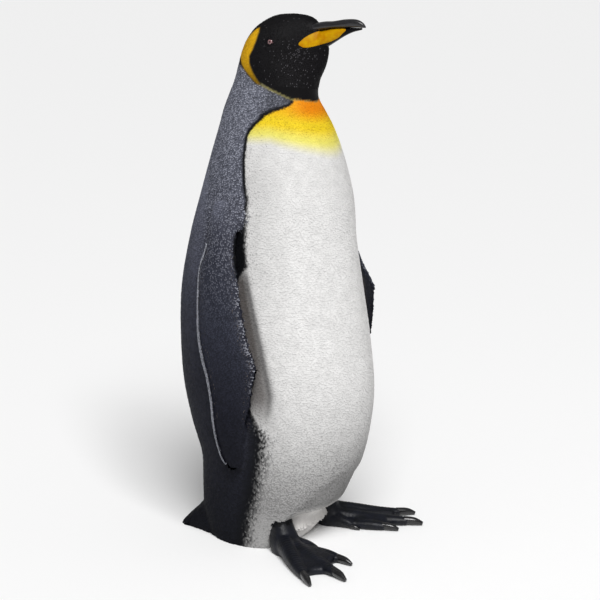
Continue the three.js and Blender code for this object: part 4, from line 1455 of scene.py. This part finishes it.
def scutes(points, normals, side):
    """How far the foot's skin stands out: bars across the toes' tops and a net of scales elsewhere."""
    rise, bar, net = np.zeros((3, len(points)))
    for toe in ("outer", "middle", "inner"):
        at = evenly(held_toe(TOES[toe], toe, side), 120)
        line = at[:, [1, 0]]
        steps = steps_along(line)
        gap = np.linalg.norm(points[:, None, :2] - line[None], axis=2)
        near = gap.argmin(1)
        wide = at[near, 3]
        on = 1 - smoothstep(gap.min(1) / wide, 0.45, 0.75)
        on *= smoothstep(normals[:, 2], 0.1, 0.5) * smoothstep(steps[near], 18, 34)
        wave = np.abs(np.sin(np.pi * steps[near] / SCUTE_PITCH)) ** 0.7
        rise = np.where(on > bar, SCUTE_RISE * (wave - 0.55), rise)
        bar = np.maximum(bar, on)
    for i, p in enumerate(points / SCALE_SIZE):
        gaps = noise.voronoi(Vector(p))[0]
        net[i] = min(gaps[1] - gaps[0], 0.45)
    return SCALE_RISE * (net - 0.2) * (1 - bar) + rise * bar


def add_foot(side):
    mesh = remeshed(f"foot_{side}_shape", *foot_form(side), FOOT_VOXEL)
    points, edges = points_of(mesh), edges_of(mesh)
    points = smoothed(points, edges, 9)
    set_points(mesh, points)
    normals = normals_of(mesh)
    grounded = smoothstep(points[:, 2], 0.6, 3.0)
    points = points + normals * (scutes(points, normals, side) * grounded - 0.3)[:, None]
    points[:, 2] = np.maximum(points[:, 2], 0)
    set_points(mesh, placed(points, side))
    if np.linalg.det(foot_place(side)[0]) < 0:
        mesh.flip_normals()
    mesh.shade_smooth()
    add_piece(f"foot_{side}_shape", mesh, MATERIALS["foot"], "foot_black", f"foot_{side}")


def add_claws(side):
    for toe, stations in CLAWS.items():
        points, faces = limb(held_toe(stations, toe, side), 24, 30)
        points[:, 2] = np.maximum(points[:, 2], 0)
        mesh = mesh_from(f"nail_{toe}_{side}", placed(points, side), faces)
        face_out(mesh)
        add_piece(f"nail_{toe}_{side}", mesh, MATERIALS["claw"], "claw_black", f"claw_{toe}_{side}")


# ------------------------------------------------------------------ materials
def new_material(name, roughness, specular=0.5, coat=0.0):
    material = bpy.data.materials.new(name)
    material.use_nodes = True
    shader = material.node_tree.nodes["Principled BSDF"]
    shader.inputs["Roughness"].default_value = roughness
    shader.inputs["Specular IOR Level"].default_value = specular
    shader.inputs["Coat Weight"].default_value = coat
    return material, material.node_tree, shader


def noise_node(tree, scale):
    place = tree.nodes.new("ShaderNodeTexCoord")
    node = tree.nodes.new("ShaderNodeTexNoise")
    node.inputs["Scale"].default_value = scale
    node.inputs["Detail"].default_value = 3.0
    tree.links.new(place.outputs["Object"], node.inputs["Vector"])
    return node


def ranged(tree, value, low, high):
    """The middle of a noise's range spread from low to high."""
    node = tree.nodes.new("ShaderNodeMapRange")
    for name, number in (("From Min", 0.3), ("From Max", 0.7), ("To Min", low), ("To Max", high)):
        node.inputs[name].default_value = number
    tree.links.new(value, node.inputs["Value"])
    return node.outputs["Result"]


def add_bump(tree, shader, height, strength, distance):
    node = tree.nodes.new("ShaderNodeBump")
    node.inputs["Strength"].default_value = strength
    node.inputs["Distance"].default_value = distance
    tree.links.new(height, node.inputs["Height"])
    tree.links.new(node.outputs["Normal"], shader.inputs["Normal"])


def multiplied(tree, colour, value):
    node = tree.nodes.new("ShaderNodeMix")
    node.data_type = "RGBA"
    node.blend_type = "MULTIPLY"
    node.inputs["Factor"].default_value = 1.0
    tree.links.new(colour, node.inputs["A"])
    tree.links.new(value, node.inputs["B"])
    return node.outputs["Result"]


def two_tones(tree, value, low, high):
    node = tree.nodes.new("ShaderNodeValToRGB")
    node.color_ramp.elements[0].color = (*linear(low), 1)
    node.color_ramp.elements[1].color = (*linear(high), 1)
    node.color_ramp.elements[0].position = 0.35
    node.color_ramp.elements[1].position = 0.65
    tree.links.new(value, node.inputs["Fac"])
    return node.outputs["Color"]


def tone_node(tree):
    """The colours that give_tones wrote to the mesh."""
    node = tree.nodes.new("ShaderNodeAttribute")
    node.attribute_name = "tone"
    return node.outputs["Color"]


def painted_plumage():
    """The markings, with broad and fine unevenness in the paint."""
    material, tree, shader = new_material("painted_plumage", 0.65, 0.08)
    broad, fine = noise_node(tree, 60).outputs["Fac"], noise_node(tree, 1400).outputs["Fac"]
    colour = multiplied(tree, tone_node(tree), ranged(tree, broad, 0.93, 1.05))
    colour = multiplied(tree, colour, ranged(tree, fine, 0.88, 1.1))
    tree.links.new(colour, shader.inputs["Base Color"])
    tree.links.new(ranged(tree, fine, 0.42, 0.66), shader.inputs["Roughness"])
    add_bump(tree, shader, fine, 0.35, 0.0004)
    return material


def eye_gloss():
    material, tree, shader = new_material("eye_gloss", 0.08, 0.6, 0.4)
    fine = noise_node(tree, 2600).outputs["Fac"]
    colour = multiplied(tree, tone_node(tree), ranged(tree, fine, 0.8, 1.1))
    tree.links.new(colour, shader.inputs["Base Color"])
    return material


def mottled(name, shine, scales, tones, roughness, bump):
    """Two tones in broad patches, with a fine grain in the gloss and the surface. shine gives the
    plain roughness, specular level and coat, scales the broad and the fine noise, and bump the
    grain's strength and depth."""
    material, tree, shader = new_material(name, *shine)
    broad, fine = (noise_node(tree, scale).outputs["Fac"] for scale in scales)
    tree.links.new(two_tones(tree, broad, *tones), shader.inputs["Base Color"])
    tree.links.new(ranged(tree, fine, *roughness), shader.inputs["Roughness"])
    add_bump(tree, shader, fine, *bump)
    return material


def bill_gloss(name, specular, coat, tones):
    return mottled(name, (0.34, specular, coat), (90, 900), tones, (0.24, 0.42), (0.15, 0.0003))


def plate_gold():
    tones = (172, 116, 1), (186, 142, 3)
    return mottled("plate_gold", (0.5, 0.06), (110, 1100), tones, (0.3, 0.5), (0.2, 0.0003))


def foot_skin():
    tones = (4, 6, 12), (11, 14, 25)
    return mottled("foot_skin", (0.5, 0.3), (70, 1000), tones, (0.34, 0.58), (0.3, 0.0004))


def claw_gloss():
    tones = (11, 11, 13), (26, 25, 27)
    return mottled("claw_gloss", (0.25, 0.5, 0.3), (160, 1300), tones, (0.18, 0.36), (0.12, 0.0003))


MATERIALS = {
    "plumage": painted_plumage(),
    "bill": bill_gloss("bill_gloss", 0.5, 0.3, ((13, 12, 15), (27, 25, 30))),
    "jaw": bill_gloss("jaw_gloss", 0.1, 0.0, ((5, 5, 7), (12, 11, 14))),
    "plate": plate_gold(),
    "eye": eye_gloss(),
    "foot": foot_skin(),
    "claw": claw_gloss(),
}


# ------------------------------------------------------------------ the skin's colours
def on_flipper(local, at):
    """Which points, in a flipper's own frame, belong to it below its shoulder."""
    drop = -local[:, 2]
    _, lead, trail, out, _, thick = at.T
    inside = (drop > 40) & (drop < FLIPPER_LENGTH + 5) & (local[:, 0] > out - thick / 2 - 1.5)
    return inside & (local[:, 1] > lead - 3) & (local[:, 1] < trail + 3)


def skin_tones(points):
    """The same markings as the coat's, on the skin under it, with the rims of the lids."""
    even = np.full(len(points), 0.5)
    colour = plumage_tones(points, even)
    for side in SIDES:
        hold = np.linalg.inv(flipper_hold(side))
        local = points @ hold[:3, :3].T + hold[:3, 3]
        drop = -local[:, 2]
        at = read_flipper(np.clip(drop / FLIPPER_LENGTH, 0, 1))
        on = on_flipper(local, at) & (points[:, 0] * SIDES[side] > 90)
        turn = np.where(local[:, 0] > at[:, 3] + at[:, 4], 90.0, 270.0)
        colour[on] = flipper_tones(drop, turn, points[:, 2], even)[on]
        ring = opening(points, side)
        lid = (ring < 1.45) & (np.abs(points[:, 0] - EYE_AT[side][0]) < 8)
        colour[lid] = mixed(TONE["hood"], TONE["lid"], 1 - smoothstep(ring, 1.12, 1.3))[lid]
    return colour


# ------------------------------------------------------------------ floor, light and camera
def add_floor():
    corners = np.array([(-1, -1, 0), (1, -1, 0), (1, 1, 0), (-1, 1, 0)], float)
    mesh = mesh_from("floor", corners * FLOOR_HALF, np.array([(0, 1, 2, 3)]))
    material, _, shader = new_material("pale_floor", 0.8, 0.1)
    shader.inputs["Base Color"].default_value = (0.97, 0.97, 0.97, 1)
    object_from("floor", mesh, material)


def add_light(name, kind, place, energy, size):
    """A lamp that faces the figure's middle. size is a disk's width, or a sun's angle in degrees."""
    lamp = bpy.data.lights.new(name, kind)
    lamp.energy = energy
    if kind == "SUN":
        lamp.angle = math.radians(size)
    else:
        lamp.shape = "DISK"
        lamp.size = size
    obj = bpy.data.objects.new(name, lamp)
    obj.location = place
    obj.rotation_euler = (Vector(MIDDLE) - Vector(place)).to_track_quat("-Z", "Y").to_euler()
    bpy.context.scene.collection.objects.link(obj)


def light_the_studio():
    turn, rise = math.radians(SUN["azimuth"]), math.radians(SUN["rise"])
    direction = Vector((-math.sin(turn) * math.cos(rise), -math.cos(turn) * math.cos(rise), math.sin(rise)))
    add_light("sun", "SUN", Vector(MIDDLE) + SUN["away"] * direction, SUN["strength"], SUN["angle"])
    add_light("glint", "AREA", GLINT["place"], GLINT["power"], GLINT["size"])
    world = bpy.data.worlds.new("studio")
    world.use_nodes = True
    world.node_tree.nodes["Background"].inputs["Color"].default_value = (1, 1, 1, 1)
    world.node_tree.nodes["Background"].inputs["Strength"].default_value = SKY
    bpy.context.scene.world = world
    bpy.context.scene.view_settings.view_transform = "Standard"


def add_camera():
    data = bpy.data.cameras.new("camera")
    data.lens = CAMERA_FOCUS / IMAGE_WIDTH * SENSOR
    data.sensor_width = SENSOR
    data.shift_x = CAMERA_SHIFT / IMAGE_WIDTH
    camera = bpy.data.objects.new("camera", data)
    camera.location = CAMERA_PLACE
    camera.rotation_euler = (math.radians(90 - CAMERA_PITCH), 0, math.radians(CAMERA_HEADING))
    bpy.context.scene.collection.objects.link(camera)
    bpy.context.scene.camera = camera


# ------------------------------------------------------------------ putting it together
skin = skin_mesh()
skin.shade_smooth()
give_tones(skin, skin_tones(points_of(skin)))
fleshy = ("head", "neck", "trunk", "tail", "leg_right", "leg_left", "flipper_right", "flipper_left")
add_piece("skin", skin, MATERIALS["plumage"], "plumage_white", *fleshy)
surface = Surface(skin)
coat_the_body(surface)
coat_the_head(surface)
for side in SIDES:
    coat_a_flipper(surface, side)
    coat_a_ridge(side)
    add_plate(side, surface)
    add_eye(side)
    add_foot(side)
    add_claws(side)
    coat_an_ankle(side)
coat_the_tail(surface)
add_bill()
add_floor()
light_the_studio()
add_camera()
